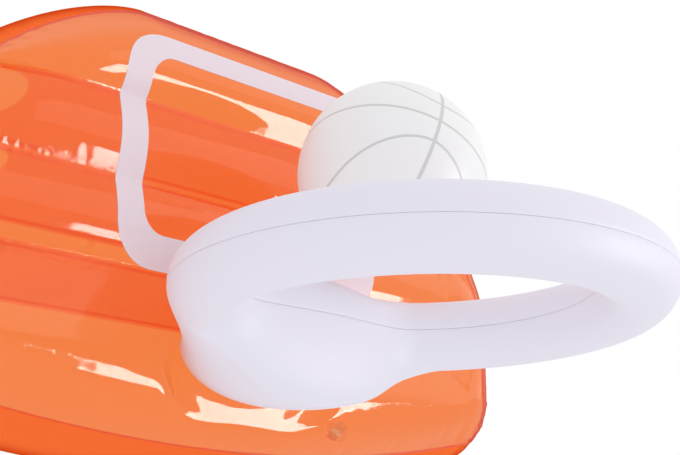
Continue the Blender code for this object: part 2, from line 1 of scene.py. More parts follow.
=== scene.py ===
"""Looks of the inflatable pool hoop: clear orange board, white air ring, air valves and ball.

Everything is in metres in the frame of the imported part. +Z is up, the board stands on its foot
strip and faces -Y. Each sub-assembly is a class that holds its sizes, builds its meshes and
dresses them with the finishes below.
"""

import json
import logging
import math
import random
from collections.abc import Iterator
from contextlib import contextmanager
from dataclasses import dataclass
from enum import Enum

import bmesh
import bpy
import numpy as np
from mathutils import Matrix, Vector


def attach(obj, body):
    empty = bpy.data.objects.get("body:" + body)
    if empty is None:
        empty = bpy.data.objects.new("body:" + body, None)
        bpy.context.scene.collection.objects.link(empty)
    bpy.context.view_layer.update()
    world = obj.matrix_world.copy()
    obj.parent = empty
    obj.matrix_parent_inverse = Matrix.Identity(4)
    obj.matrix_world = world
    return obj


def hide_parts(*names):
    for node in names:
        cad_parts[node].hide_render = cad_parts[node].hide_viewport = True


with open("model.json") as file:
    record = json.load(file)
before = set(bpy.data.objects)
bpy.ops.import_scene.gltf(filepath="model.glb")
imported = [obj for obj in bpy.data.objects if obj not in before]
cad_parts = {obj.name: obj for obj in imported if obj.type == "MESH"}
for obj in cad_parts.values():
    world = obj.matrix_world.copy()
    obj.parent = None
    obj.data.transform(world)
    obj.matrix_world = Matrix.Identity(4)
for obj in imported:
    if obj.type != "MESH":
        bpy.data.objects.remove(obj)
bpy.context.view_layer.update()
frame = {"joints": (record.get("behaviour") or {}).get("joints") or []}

log = logging.getLogger("pool_hoop")

PHOTO_WIDTH = 680
FILM = 0.0004
GAP = 0.0003
FACETS = 48
SAME_FILM = 0.03

# Seeds that fix the draws of the small folds, so that each run gives the same ones.
RIM_SEED, SEAM_SEED, WEB_SEED, PUCKER_SEED, ZONE_SEED = 11, 31, 57, 71, 5

Object = bpy.types.Object
Tree = bpy.types.NodeTree
Node = bpy.types.Node
Socket = bpy.types.NodeSocket
Feed = Node | Socket | tuple | float


class Slot(Enum):
    """Material slots of the record."""

    FILM = "orange_film"
    VINYL = "white_vinyl"
    VALVE = "clear_valve"
    BALL = "ball_vinyl"


class Side(Enum):
    """Which of a pair of welded films, as the sign of its outward direction."""

    FRONT = -1
    BACK = 1
    LOWER = -2
    UPPER = 2

    @property
    def sign(self) -> int:
        """Sign along the axis that the pair is split on."""
        return 1 if self.value > 0 else -1


# Small shared sums


def smoothstep(t: np.ndarray) -> np.ndarray:
    """Eased share of the way from 0 to 1, clamped."""
    t = np.clip(t, 0.0, 1.0)
    return t * t * (3.0 - 2.0 * t)


def lerp(a: np.ndarray, b: np.ndarray, t: np.ndarray) -> np.ndarray:
    """Value at share t between a and b."""
    return a + (b - a) * t


def even_ends(count: int) -> np.ndarray:
    """Shares from 0 to 1, one more than the steps, that crowd towards both ends."""
    return (1.0 - np.cos(np.linspace(0.0, math.pi, count + 1))) / 2.0


def ripple(place: np.ndarray, wavelength: float, seed: int, waves: int = 7) -> np.ndarray:
    """Irregular ripple between about -1 and 1, the same on each run.

    Args:
        place: array of points in metres, shape (..., axes).
        wavelength: mean wavelength in metres.
        seed: number that fixes the draw.
        waves: how many plain waves are added.

    Returns:
        Array of heights, shape (...).
    """
    draw = random.Random(seed)
    total = np.zeros(place.shape[:-1])
    for _ in range(waves):
        turn = draw.uniform(0.0, 2.0 * math.pi)
        heading = np.array([math.cos(turn), math.sin(turn)])[: place.shape[-1]]
        length = wavelength * draw.uniform(0.6, 1.7)
        total += np.cos(place @ heading * 2.0 * math.pi / length + draw.uniform(0.0, 2.0 * math.pi))
    return total / math.sqrt(waves)


# Modelling by hand


def deselect() -> None:
    """Clears the selection, which an operator would otherwise act on."""
    if bpy.context.mode != "OBJECT":
        bpy.ops.object.mode_set(mode="OBJECT")
    bpy.ops.object.select_all(action="DESELECT")


def hold(obj: Object, *others: Object) -> None:
    """Selects one object, with any others, and makes it active.

    Args:
        obj: the object to make active.
        others: more objects to select.
    """
    deselect()
    for part in (obj, *others):
        part.select_set(True)
    bpy.context.view_layer.objects.active = obj


@contextmanager
def editing(obj: Object, select: str = "SELECT") -> Iterator[None]:
    """Edit mode on one object, with its whole mesh selected, or none of it with DESELECT.

    Args:
        obj: the object.
        select: SELECT or DESELECT.
    """
    hold(obj)
    bpy.ops.object.mode_set(mode="EDIT")
    bpy.ops.mesh.select_all(action=select)
    yield
    bpy.ops.object.mode_set(mode="OBJECT")


def select_open_edges() -> None:
    """Selects the open edges of the mesh that is being edited."""
    bpy.ops.mesh.select_non_manifold(use_wire=False, use_multi_face=False, use_verts=False)


def turn_outwards() -> None:
    """Turns all faces of the mesh that is being edited outwards."""
    bpy.ops.mesh.select_all(action="SELECT")
    bpy.ops.mesh.normals_make_consistent(inside=False)


def work_in(obj: Object, kind: str, **settings) -> None:
    """Works a modifier of a kind, with its settings, into a piece's mesh.

    Args:
        obj: the piece.
        kind: the modifier's type.
        settings: its properties.
    """
    hold(obj)
    modifier = obj.modifiers.new(kind, kind)
    for key, value in settings.items():
        setattr(modifier, key, value)
    bpy.ops.object.modifier_apply(modifier=modifier.name)


def combine(obj: Object, tool: Object, operation: str) -> None:
    """Cuts a tool out of a piece, or joins it on, and removes the tool."""
    work_in(obj, "BOOLEAN", operation=operation, solver="EXACT", object=tool)
    bpy.data.objects.remove(tool, do_unlink=True)


def named(name: str) -> Object:
    """Gives the object just added its name and returns it.

    Args:
        name: the new name.

    Returns:
        The object.
    """
    obj = bpy.context.object
    obj.name = obj.data.name = name
    return obj


def read_field(items: bpy.types.bpy_prop_collection, field: str, width: int) -> np.ndarray:
    """One field of all vertices or faces of a mesh, shape (items, width).

    Args:
        items: the vertices or faces.
        field: the property's name.
        width: numbers in each.

    Returns:
        The values.
    """
    flat = np.empty(len(items) * width, np.float32)
    items.foreach_get(field, flat)
    return flat.reshape(-1, width).astype(float)


def read_points(obj: Object) -> np.ndarray:
    """A mesh's positions, shape (vertices, 3)."""
    return read_field(obj.data.vertices, "co", 3)


def write_points(obj: Object, points: np.ndarray) -> None:
    """Moves a mesh's vertices to the given positions."""
    obj.data.vertices.foreach_set("co", points.astype(np.float32).ravel())
    obj.data.update()


def shaped_sheet(name: str, points: np.ndarray, inside: np.ndarray) -> Object:
    """Sheet laid over a net of points.

    Args:
        name: the piece's name.
        points: positions, shape (rows, columns, 3).
        inside: a point for each position that its outer face looks away from, same shape.

    Returns:
        The new object, its faces pointing away from the inside.
    """
    rows, columns = points.shape[:2]
    deselect()
    bpy.ops.mesh.primitive_grid_add(x_subdivisions=columns - 1, y_subdivisions=rows - 1, size=2.0)
    obj = named(name)
    flat = read_points(obj)
    column = np.rint((flat[:, 0] + 1.0) / 2.0 * (columns - 1)).astype(int)
    row = np.rint((flat[:, 1] + 1.0) / 2.0 * (rows - 1)).astype(int)
    write_points(obj, points[row, column])
    faces = obj.data.polygons
    first = [face.vertices[0] for face in faces]
    away = read_field(faces, "center", 3) - inside[row[first], column[first]]
    facing = (away * read_field(faces, "normal", 3) * read_field(faces, "area", 1)).sum()
    with editing(obj):
        bpy.ops.mesh.remove_doubles(threshold=1e-6)
        if facing < 0.0:
            bpy.ops.mesh.flip_normals()
    return obj


def grown(points: np.ndarray, edge: np.ndarray) -> np.ndarray:
    """A net with one more row or column on each side.

    Args:
        points: the net, shape (rows, columns, 3).
        edge: an array whose outermost points are the new ones. It may be smaller than the net,
            whose corners then run together.

    Returns:
        The larger net.
    """
    more = (points.shape[0] - edge.shape[0]) // 2 + 1
    net = np.pad(edge, ((more, more), (more, more), (0, 0)), mode="edge")
    net[1:-1, 1:-1] = points
    return net


def thicken(obj: Object, thickness: float, offset: float = -1.0) -> None:
    """Gives a film its real thickness, on its inner side, or half on each side with offset 0."""
    work_in(obj, "SOLIDIFY", thickness=thickness, offset=offset, use_even_offset=True)


def smooth(obj: Object, angle: float) -> None:
    """Shades a piece smooth, with sharp edges past an angle in degrees."""
    hold(obj)
    bpy.ops.object.shade_smooth_by_angle(angle=math.radians(angle))


def soften(obj: Object, width: float) -> None:
    """Rounds a piece's sharp edges by a width in metres."""
    sharp = math.radians(40.0)
    work_in(obj, "BEVEL", width=width, segments=2, limit_method="ANGLE", angle_limit=sharp)


def lathe(name: str, profile: list[tuple[float, float]], rounding: float) -> Object:
    """Turned solid about Z, drawn out ring by ring from a circle.

    Args:
        name: the piece's name.
        profile: (radius, height) corners down the outer side. A solid one starts and ends at radius
            0, a tube's last corner is joined to its first.
        rounding: width of its softened edges.

    Returns:
        The closed solid.
    """
    rings = [corner for corner in profile if corner[0] > 0.0]
    solid = len(rings) < len(profile)
    radius, height = rings[0]
    fill = "NGON" if solid else "NOTHING"
    deselect()
    bpy.ops.mesh.primitive_circle_add(
        vertices=FACETS, radius=radius, fill_type=fill, location=(0.0, 0.0, height)
    )
    obj = named(name)
    bpy.ops.object.transform_apply(location=True)
    with editing(obj):
        for (old, low), (new, high) in zip(rings, rings[1:]):
            bpy.ops.mesh.extrude_region_move()
            bpy.ops.transform.resize(value=(new / old, new / old, 1.0), center_override=(0.0, 0.0, 0.0))
            bpy.ops.transform.translate(value=(0.0, 0.0, high - low))
        if not solid:
            bpy.ops.mesh.select_all(action="DESELECT")
            bpy.ops.mesh.select_mode(type="EDGE")
            select_open_edges()
            bpy.ops.mesh.bridge_edge_loops()
        turn_outwards()
    soften(obj, rounding)
    return obj


def put(obj: Object, place: Matrix) -> None:
    """Moves a finished piece to its place and works the place into its mesh.

    Args:
        obj: the piece, modelled at the origin.
        place: where it belongs.
    """
    hold(obj)
    obj.matrix_world = place
    bpy.ops.object.transform_apply(location=True, rotation=True, scale=True)


def seat_matrix(place: Vector, axis: Vector) -> Matrix:
    """Matrix of a seat at a place, with its local +Z along an axis."""
    turn = Vector((0.0, 0.0, 1.0)).rotation_difference(axis).to_matrix().to_4x4()
    return Matrix.Translation(place) @ turn


def settle(obj: Object, material: bpy.types.Material, body: str, node: str) -> None:
    """Dresses a piece, makes it ride on its body and hides its CAD node.

    Args:
        obj: the piece.
        material: its finish.
        body: the body it moves with.
        node: the CAD node that it replaces.
    """
    obj.data.materials.clear()
    obj.data.materials.append(material)
    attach(obj, body)
    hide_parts(node)
    log.info("%s on %s: %d faces", obj.name, body, len(obj.data.polygons))


# Finishes


def linear(hex_colour: str) -> tuple[float, float, float, float]:
    """Linear colour of an sRGB hex value, with an alpha of 1."""
    parts = [int(hex_colour[i : i + 2], 16) / 255.0 for i in (0, 2, 4)]
    return (*[c / 12.92 if c <= 0.04045 else ((c + 0.055) / 1.055) ** 2.4 for c in parts], 1.0)


def add_node(tree: Tree, kind: str, inputs: dict | None = None, **settings) -> Node:
    """Adds a node with its settings, values and links.

    Args:
        tree: the material's nodes.
        kind: the node's type name without its ShaderNode prefix.
        inputs: input name or number to a value, to the socket or node that feeds it, or to a sum:
            the name of a maths operation and the values it takes, which may be sums too.
        settings: the node's own properties.

    Returns:
        The node.
    """
    node = tree.nodes.new("ShaderNode" + kind)
    for key, value in settings.items():
        setattr(node, key, value)
    for key, value in (inputs or {}).items():
        if isinstance(value, tuple) and isinstance(value[0], str):
            value = add_node(tree, "Math", dict(enumerate(value[1:])), operation=value[0])
        if isinstance(value, Node):
            value = value.outputs[0]
        if isinstance(value, Socket):
            tree.links.new(value, node.inputs[key])
        else:
            node.inputs[key].default_value = value
    return node


def fade(tree: Tree, value: Feed, start: float, end: float) -> Node:
    """Share from 1 at start to 0 at end of a value, clamped and eased."""
    ends = {"Value": value, "From Min": start, "From Max": end, "To Min": 1.0, "To Max": 0.0}
    return add_node(tree, "MapRange", ends, interpolation_type="SMOOTHSTEP")


def own_axes(tree: Tree) -> tuple[Socket, ...]:
    """The X, Y and Z of a piece's own coordinates."""
    place = add_node(tree, "TexCoord").outputs["Object"]
    return tuple(add_node(tree, "SeparateXYZ", {"Vector": place}).outputs)


@dataclass(frozen=True)
class Finish:
    """A finish's name and, for each kind of finish, its surface."""

    name: str

    def surface(self, tree: Tree) -> Node:
        """The shader of the surface, which each kind of finish gives."""
        raise NotImplementedError

    def make(self) -> bpy.types.Material:
        """Builds the finish's material.

        Returns:
            The material.
        """
        material = bpy.data.materials.new(self.name)
        material.use_nodes = True
        tree = material.node_tree
        tree.nodes.clear()
        add_node(tree, "OutputMaterial", {"Surface": self.surface(tree)})
        return material


@dataclass(frozen=True)
class Target:
    """White rounded rectangle printed on the board's front film, in the board's X and Z."""

    outer: tuple[float, ...] = (0.1742, 0.4444, 0.1900, 0.046)
    inner: tuple[float, ...] = (0.1427, 0.4174, 0.2250, 0.024)
    edge: float = 0.0004

    def inside(self, tree: Tree, box: tuple[float, ...]) -> Node:
        """Mask of a rounded box.

        Args:
            tree: the material's nodes.
            box: half width, top, foot and corner radius.

        Returns:
            The node that gives 1 inside the box and 0 outside it.
        """
        half, top, foot, corner = box
        x, _, z = own_axes(tree)
        across = ("SUBTRACT", ("ABSOLUTE", x), half - corner)
        off_middle = ("ABSOLUTE", ("SUBTRACT", z, (top + foot) / 2.0))
        up = ("SUBTRACT", off_middle, (top - foot) / 2.0 - corner)
        past_x, past_z = ("MAXIMUM", across, 0.0), ("MAXIMUM", up, 0.0)
        square = ("ADD", ("MULTIPLY", past_x, past_x), ("MULTIPLY", past_z, past_z))
        within = ("MINIMUM", ("MAXIMUM", across, up), 0.0)
        distance = ("SUBTRACT", ("ADD", ("SQRT", square), within), corner)
        return fade(tree, distance, -self.edge, self.edge)

    def mask(self, tree: Tree) -> tuple:
        """Sum that is 1 on the printed band and 0 off it."""
        return "SUBTRACT", self.inside(tree, self.outer), self.inside(tree, self.inner)


@dataclass(frozen=True)
class ClearFilm(Finish):
    """Calendered clear PVC film, dyed orange.

    Light that crosses it takes its colour, once for each face, so two films over each other look
    deeper than one. The rolled surface is glossy, with fine streaks where a weld gathers it.
    """

    tint: str = "FDE2C3"
    rim_tint: str = "F0B080"
    rim_start: float = 0.62
    haze_colour: str = "FF8A48"
    haze: float = 0.03
    ior: float = 1.38
    sheen: float = 1.0
    most_gloss: float = 0.10
    roughness: float = 0.05
    # Gathers 5.3 mm apart, over slow waves of 38 mm in which the channels' light bends.
    streaks_per_metre: float = 190.0
    waves_per_metre: float = 26.0
    wave_share: float = 0.35
    seam_fade: tuple[float, float] = (0.003, 0.016)
    rim_plane: float = 0.164
    rim_fade: tuple[float, float] = (0.004, 0.028)
    relief: float = 0.35
    relief_depth: float = 0.0012
    ink: Target | None = None
    ink_colour: str = "EFE1E7"
    ink_roughness: float = 0.42
    ink_specular: float = 0.12

    def gathers(self, tree: Tree) -> Node:
        """Bump of the film with its slow waves and the fine gathers along its welds.

        Args:
            tree: the material's nodes.

        Returns:
            The bump node, which gives the normal.
        """
        x, y, z = own_axes(tree)
        flat = add_node(tree, "CombineXYZ", {"X": x, "Z": z})
        streaks = add_node(tree, "TexNoise", {"Vector": flat, "Scale": self.streaks_per_metre})
        slow = {"Vector": flat, "Scale": self.waves_per_metre, "Detail": 1.0}
        waves = add_node(tree, "TexNoise", slow)
        off_seam = ("PINGPONG", ("SUBTRACT", z, BOARD.lowest_seam), BOARD.seam_spacing / 2.0)
        by_seam = fade(tree, off_seam, *self.seam_fade)
        by_rim = fade(tree, ("ABSOLUTE", ("SUBTRACT", y, self.rim_plane)), *self.rim_fade)
        gathered = ("MULTIPLY", streaks, ("MAXIMUM", by_seam, by_rim))
        height = ("ADD", gathered, ("MULTIPLY", waves, self.wave_share))
        bump = {"Height": height, "Strength": self.relief, "Distance": self.relief_depth}
        return add_node(tree, "Bump", bump)

    def surface(self, tree: Tree) -> Node:
        """The clear, slightly milky and glossy film, with the print on it if it has one.

        Args:
            tree: the material's nodes.

        Returns:
            The shader node.
        """
        normal = self.gathers(tree)
        edge_on = add_node(tree, "LayerWeight", {"Blend": 0.5, "Normal": normal}).outputs["Facing"]
        deeper = ("SUBTRACT", 1.0, fade(tree, edge_on, self.rim_start, 1.0))
        tints = {0: deeper, 6: linear(self.tint), 7: linear(self.rim_tint)}
        tint = add_node(tree, "Mix", tints, data_type="RGBA").outputs[2]
        clear = add_node(tree, "BsdfTransparent", {"Color": tint})
        milky = add_node(tree, "BsdfDiffuse", {"Color": linear(self.haze_colour), "Normal": normal})
        body = add_node(tree, "MixShader", {0: self.haze, 1: clear, 2: milky})
        rolled = {"Roughness": self.roughness, "Normal": normal}
        gloss = add_node(tree, "BsdfGlossy", rolled, distribution="GGX")
        behind = add_node(tree, "NewGeometry").outputs["Backfacing"]
        mirrored = add_node(tree, "Fresnel", {"IOR": self.ior, "Normal": normal})
        mirrored = ("MULTIPLY", ("MINIMUM", mirrored, self.most_gloss), self.sheen)
        share = ("MULTIPLY", mirrored, ("SUBTRACT", 1.0, behind))
        film = add_node(tree, "MixShader", {0: share, 1: body, 2: gloss})
        if self.ink is None:
            return film
        print_inputs = {
            "Base Color": linear(self.ink_colour),
            "Roughness": self.ink_roughness,
            "Specular IOR Level": self.ink_specular,
            "Normal": normal,
        }
        ink = add_node(tree, "BsdfPrincipled", print_inputs)
        return add_node(tree, "MixShader", {0: self.ink.mask(tree), 1: film, 2: ink})


@dataclass(frozen=True)
class SolidVinyl(Finish):
    """PVC with a pattern of its own and a fine relief."""

    colour: str
    roughness: float
    relief: float
    relief_depth: float
    specular: float = 0.5
    alpha: float = 1.0

    def pattern(self, tree: Tree) -> tuple[Feed, Feed]:
        """The colour and the height of the surface, which each kind gives."""
        raise NotImplementedError

    def surface(self, tree: Tree) -> Node:
        """The plastic's shader, over its relief.

        Args:
            tree: the material's nodes.

        Returns:
            The shader node.
        """
        colour, height = self.pattern(tree)
        bump = {"Height": height, "Strength": self.relief, "Distance": self.relief_depth}
        skin = {
            "Base Color": colour,
            "Roughness": self.roughness,
            "Specular IOR Level": self.specular,
            "Alpha": self.alpha,
            "Normal": add_node(tree, "Bump", bump),
        }
        return add_node(tree, "BsdfPrincipled", skin)


@dataclass(frozen=True)
class WhiteVinyl(SolidVinyl):
    """Calendered white PVC film, opaque, with a soft gloss and a cool cast."""

    name: str = "white_pvc_film"
    colour: str = "F0EEF7"
    roughness: float = 0.5
    relief: float = 0.3
    relief_depth: float = 0.0008
    specular: float = 0.08
    # Gathers 6.7 mm apart. Grain of 1.1 mm, coarser than the real one so that it shows.
    streaks_per_metre: float = 150.0
    grains_per_metre: float = 900.0
    grain_share: float = 0.04
    seam_fade: tuple[float, float] = (0.001, 0.012)

    def pattern(self, tree: Tree) -> tuple[Feed, Feed]:
        """Plain white with a fine grain, and gathers along the ring's welded seam.

        Args:
            tree: the material's nodes.

        Returns:
            Colour and height.
        """
        x, y, z = own_axes(tree)
        flat = add_node(tree, "CombineXYZ", {"X": x, "Y": y})
        streaks = add_node(tree, "TexNoise", {"Vector": flat, "Scale": self.streaks_per_metre})
        near = fade(tree, ("ABSOLUTE", ("SUBTRACT", z, RING.centre[2])), *self.seam_fade)
        place = add_node(tree, "TexCoord").outputs["Object"]
        grain = add_node(tree, "TexNoise", {"Vector": place, "Scale": self.grains_per_metre})
        height = ("ADD", ("MULTIPLY", streaks, near), ("MULTIPLY", grain, self.grain_share))
        return linear(self.colour), height


@dataclass(frozen=True)
class MouldedValve(SolidVinyl):
    """Soft moulded PVC of the air valves, milky and half clear, with a satin skin."""

    name: str = "moulded_clear_pvc"
    colour: str = "F4F2F4"
    roughness: float = 0.28
    relief: float = 0.12
    relief_depth: float = 0.0002
    alpha: float = 0.22
    # Mould texture of 0.7 mm.
    grains_per_metre: float = 1400.0

    def pattern(self, tree: Tree) -> tuple[Feed, Feed]:
        """Plain, with a faint mould texture.

        Args:
            tree: the material's nodes.

        Returns:
            Colour and height.
        """
        place = add_node(tree, "TexCoord").outputs["Object"]
        grain = add_node(tree, "TexNoise", {"Vector": place, "Scale": self.grains_per_metre})
        return linear(self.colour), grain


@dataclass(frozen=True)
class BallVinyl(SolidVinyl):
    """Rotation-moulded white PVC of the ball, satin, with the usual eight-panel lines in pale grey."""

    name: str = "moulded_white_pvc"
    colour: str = "F8F8F6"
    roughness: float = 0.42
    relief: float = 0.4
    relief_depth: float = 0.0004
    specular: float = 0.12
    line_colour: str = "D8D8D6"
    thin_line: float = 0.0014
    thick_line: float = 0.0018
    line_fade: tuple[float, float] = (0.7, 1.3)
    loop_near: float = 0.267
    loop_far: float = 0.811
    loop_power: float = 1.79
    turn: tuple[float, float, float] = (-2.9712, 0.4407, -0.2690)
    # Grain of 1.4 mm, coarser than the real one so that it shows.
    grains_per_metre: float = 700.0
    grain_share: float = 0.12

    def lines(self, tree: Tree) -> Feed:
        """Mask of the panel lines: an equator, a meridian and two loops.

        Args:
            tree: the material's nodes.

        Returns:
            The sum that is 1 on a line and 0 off it.
        """
        to_middle = tuple(-c for c in BALL.centre)
        place = add_node(tree, "TexCoord").outputs["Object"]
        moved = add_node(tree, "VectorMath", {0: place, 1: to_middle}, operation="ADD")
        tilt = {"Vector": moved, "Rotation": self.turn}
        turned = add_node(tree, "VectorRotate", tilt, rotation_type="EULER_XYZ")
        unit = add_node(tree, "VectorMath", {0: turned}, operation="NORMALIZE")
        x, _, z = add_node(tree, "SeparateXYZ", {"Vector": unit}).outputs
        equator = ("ABSOLUTE", ("ARCSINE", z))
        meridian = ("ABSOLUTE", ("ARCSINE", x))
        flat = ("SQRT", ("MAXIMUM", ("SUBTRACT", 1.0, ("MULTIPLY", z, z)), 1e-6))
        spread = ("POWER", ("ABSOLUTE", ("DIVIDE", x, flat)), self.loop_power)
        latitude = ("MULTIPLY_ADD", spread, self.loop_far - self.loop_near, self.loop_near)
        loop = ("ABSOLUTE", ("SUBTRACT", equator, latitude))
        mask = 0.0
        thin = self.thin_line / BALL.radius
        thick = self.thick_line / BALL.radius
        for off_line, width in ((equator, thin), (meridian, thick), (loop, thin)):
            start, end = self.line_fade
            mask = ("MAXIMUM", mask, fade(tree, off_line, start * width, end * width))
        return mask

    def pattern(self, tree: Tree) -> tuple[Feed, Feed]:
        """Grained white, with the lines printed and slightly sunk.

        Args:
            tree: the material's nodes.

        Returns:
            Colour and height.
        """
        line = self.lines(tree)
        colours = {0: line, 6: linear(self.colour), 7: linear(self.line_colour)}
        colour = add_node(tree, "Mix", colours, data_type="RGBA").outputs[2]
        place = add_node(tree, "TexCoord").outputs["Object"]
        grain = add_node(tree, "TexNoise", {"Vector": place, "Scale": self.grains_per_metre})
        return colour, ("SUBTRACT", ("MULTIPLY", grain, self.grain_share), line)


@dataclass(frozen=True)
class MattPaper(Finish):
    """Matt white paper of the studio's floor, drawn clear from behind."""

    name: str = "matt_white_paper"
    colour: str = "F4F4F4"

    def surface(self, tree: Tree) -> Node:
        """Matt from above and clear from below.

        Args:
            tree: the material's nodes.

        Returns:
            The shader node.
        """
        matt = add_node(tree, "BsdfDiffuse", {"Color": linear(self.colour)})
        clear = add_node(tree, "BsdfTransparent")
        behind = add_node(tree, "NewGeometry").outputs["Backfacing"]
        return add_node(tree, "MixShader", {0: behind, 1: matt, 2: clear})


# Board


@dataclass(frozen=True)
class AirBoard:
    """Channelled air board: two films tied by three inner webs, the back one carried round the
    rolled edge to a weld on its front side."""

    width: float = 0.8484
    height: float = 0.512
    thickness: float = 0.198
    front_plane: float = 0.1339
    top_corner_width: float = 0.2985
    top_corner_height: float = 0.2859
    top_corner_power: float = 1.5
    foot_corner: float = 0.064
    foot_arch: float = 0.0528
    edge_roll: float = 0.095
    weld_turn: float = math.radians(40.6)
    foot_depth: float = 0.0005
    lip: float = 0.003
    seam_count: int = 3
    seam_spacing: float = 0.090
    lowest_seam: float = 0.1879
    seam_length: float = 0.600
    seam_band: float = 0.0064
    channel_swell: float = 0.008
    foot_swell: float = 0.016
    foot_lean: float = 2.3
    top_swell: float = 0.016
    top_lean: float = 0.8
    side_swell: float = 0.012
    side_fade: float = 0.070
    web_hollows: tuple[float, ...] = (0.030, 0.034, 0.058)
    web_strip: float = 0.004
    web_rows: int = 24
    web_columns: int = 120
    web_wave: float = 0.0009
    web_wave_length: float = 0.11
    fold_side: tuple[float, float] = (0.20, 0.12)
    fold_foot: tuple[float, float] = (0.17, 0.10)
    fold_size: tuple[float, float] = (0.00025, 0.0007)
    fold_length: float = 0.016
    fold_reach: float = 0.022
    fold_start: float = 0.004
    seam_fold_size: tuple[float, float] = (0.00016, 0.0009)
    seam_fold_length: float = 0.012
    seam_fold_reach: float = 0.010
    seam_fold_end: float = 0.05
    pad_half_width: float = 0.094
    pad_half_height: float = 0.053
    pad_height: float = 0.1184
    pad_fade: float = 0.40
    pad_lean: float = 0.20
    pad_apron: float = 0.022
    pad_ease: float = 0.0015
    middle_columns: int = 84
    side_columns: int = 30
    channel_rows: int = 18
    end_rows: int = 34
    wrap_steps: int = 12
    rim_points: int = 420

    @property
    def half_width(self) -> float:
        """Half the board's width."""
        return self.width / 2.0

    @property
    def middle(self) -> float:
        """Distance from a film's weld plane to the board's middle plane."""
        return self.thickness / 2.0

    @property
    def middle_plane(self) -> float:
        """Y of the board's middle plane, where the rim is welded."""
        return self.front_plane + self.middle

    @property
    def seams(self) -> list[float]:
        """Heights of the welded seams."""
        return [self.lowest_seam + i * self.seam_spacing for i in range(self.seam_count)]

    @property
    def weld_inset(self) -> float:
        """How far in from the outline the front weld lies."""
        return self.edge_roll * (1.0 - math.cos(self.weld_turn))

    def top_edge(self, x: np.ndarray, inset: float = 0.0) -> np.ndarray:
        """Height of the outline above each place across, drawn in by an inset.

        Args:
            x: places across.
            inset: how far it is drawn in from the outline.

        Returns:
            The heights.
        """
        past = np.maximum(np.abs(x) - (self.half_width - self.top_corner_width), 0.0)
        share = np.minimum(past / (self.top_corner_width - inset), 1.0)
        fall = (1.0 - share**self.top_corner_power) ** (1.0 / self.top_corner_power)
        return self.height - self.top_corner_height + (self.top_corner_height - inset) * fall

    def foot_edge(self, x: np.ndarray, inset: float = 0.0) -> np.ndarray:
        """Height of the lower outline, a shallow arch with round corners, drawn in by an inset.

        Args:
            x: places across.
            inset: how far it is drawn in from the outline.

        Returns:
            The heights.
        """
        corner = self.foot_corner - inset
        past = np.maximum(np.abs(x) - (self.half_width - self.foot_corner), 0.0)
        rise = corner - np.sqrt(np.maximum(corner**2 - past**2, 0.0))
        return self.foot_arch * (x / self.half_width) ** 2 - self.foot_depth + inset + rise

    def outline(self) -> np.ndarray:
        """The rim as a closed run of points.

        Returns:
            Their (x, z), upper edge first.
        """
        turn = np.linspace(-math.pi / 2, math.pi / 2, self.rim_points)
        across = np.sin(turn) * self.half_width
        upper = np.stack([across, self.top_edge(across)], axis=1)
        lower = np.stack([across[::-1], self.foot_edge(across[::-1])], axis=1)
        return np.concatenate([upper, lower])

    def rim_distance(self, x: np.ndarray, z: np.ndarray) -> tuple[np.ndarray, np.ndarray]:
        """Distance to the rim and the nearest rim point.

        Args:
            x: places across.
            z: heights, same shape.

        Returns:
            Distances, and nearest points with a last axis of (x, z).
        """
        start = self.outline()
        step = np.roll(start, -1, axis=0) - start
        length = np.maximum((step**2).sum(axis=1), 1e-14)
        place = np.stack([x.ravel(), z.ravel()], axis=1)
        near = np.empty_like(place)
        for low in range(0, len(place), 2000):
            part = place[low : low + 2000]
            offset = part[:, None, :] - start[None]
            t = np.clip((offset * step).sum(axis=2) / length, 0.0, 1.0)
            foot = start + step * t[..., None]
            best = ((part[:, None, :] - foot) ** 2).sum(axis=2).argmin(axis=1)
            near[low : low + 2000] = foot[np.arange(len(part)), best]
        distance = np.sqrt(((place - near) ** 2).sum(axis=1))
        return distance.reshape(x.shape), near.reshape(*x.shape, 2)

    def columns(self, inset: float) -> np.ndarray:
        """Places across, even between the seam ends and closer towards the sides.

        Args:
            inset: how far it is drawn in from the outline.

        Returns:
            The places, from left to right.
        """
        seam_end = self.seam_length / 2.0
        inner = np.linspace(0.0, seam_end, self.middle_columns + 1)
        turn = np.linspace(0.0, math.pi / 2, self.side_columns + 1)[1:]
        outer = seam_end + (self.half_width - inset - seam_end) * np.sin(turn)
        right = np.concatenate([inner, outer])
        return np.concatenate([-right[:0:-1], right])

    def rows(self) -> np.ndarray:
        """Rows from the foot up: the knot below, the share of the way up and the swell of each.

        Returns:
            Array of shape (3, rows).
        """
        rows = [(0, 0.0, 0.0)]
        quarter = [math.pi / 2 * i / self.end_rows for i in range(1, self.end_rows + 1)]
        for turn in quarter:
            share = 1.0 - math.cos(turn)
            swell = self.foot_swell * math.sin(math.pi * (1.0 - share) ** self.foot_lean)
            rows.append((0, share, swell))
        for seam in range(self.seam_count):
            knot = 1 + 2 * seam
            rows += [(knot, share, 0.0) for share in (0.25, 0.5, 0.75, 1.0)]
            if seam < self.seam_count - 1:
                for share in even_ends(self.channel_rows)[1:]:
                    rows.append((knot + 1, share, self.channel_swell * math.sin(math.pi * share)))
        for turn in quarter:
            share = math.sin(turn)
            swell = self.top_swell * math.sin(math.pi * share**self.top_lean)
            rows.append((2 * self.seam_count, share, swell))
        return np.array(rows).T

    def knots(self, x: np.ndarray, inset: float) -> np.ndarray:
        """Heights of the foot, each seam's two edges and the top, at each place across.

        Args:
            x: places across.
            inset: how far it is drawn in from the outline.

        Returns:
            Heights, shape (knots, places).
        """
        low, high = self.foot_edge(x, inset), self.top_edge(x, inset)
        seam_end = self.seam_length / 2.0
        spread = smoothstep((np.abs(x) - seam_end) / (self.half_width - inset - seam_end))
        heights = [low]
        for seam in self.seams:
            for side in (-0.5, 0.5):
                level = seam + side * self.seam_band
                heights.append(lerp(level, lerp(low, high, level / self.height), spread))
        return np.stack(heights + [high])

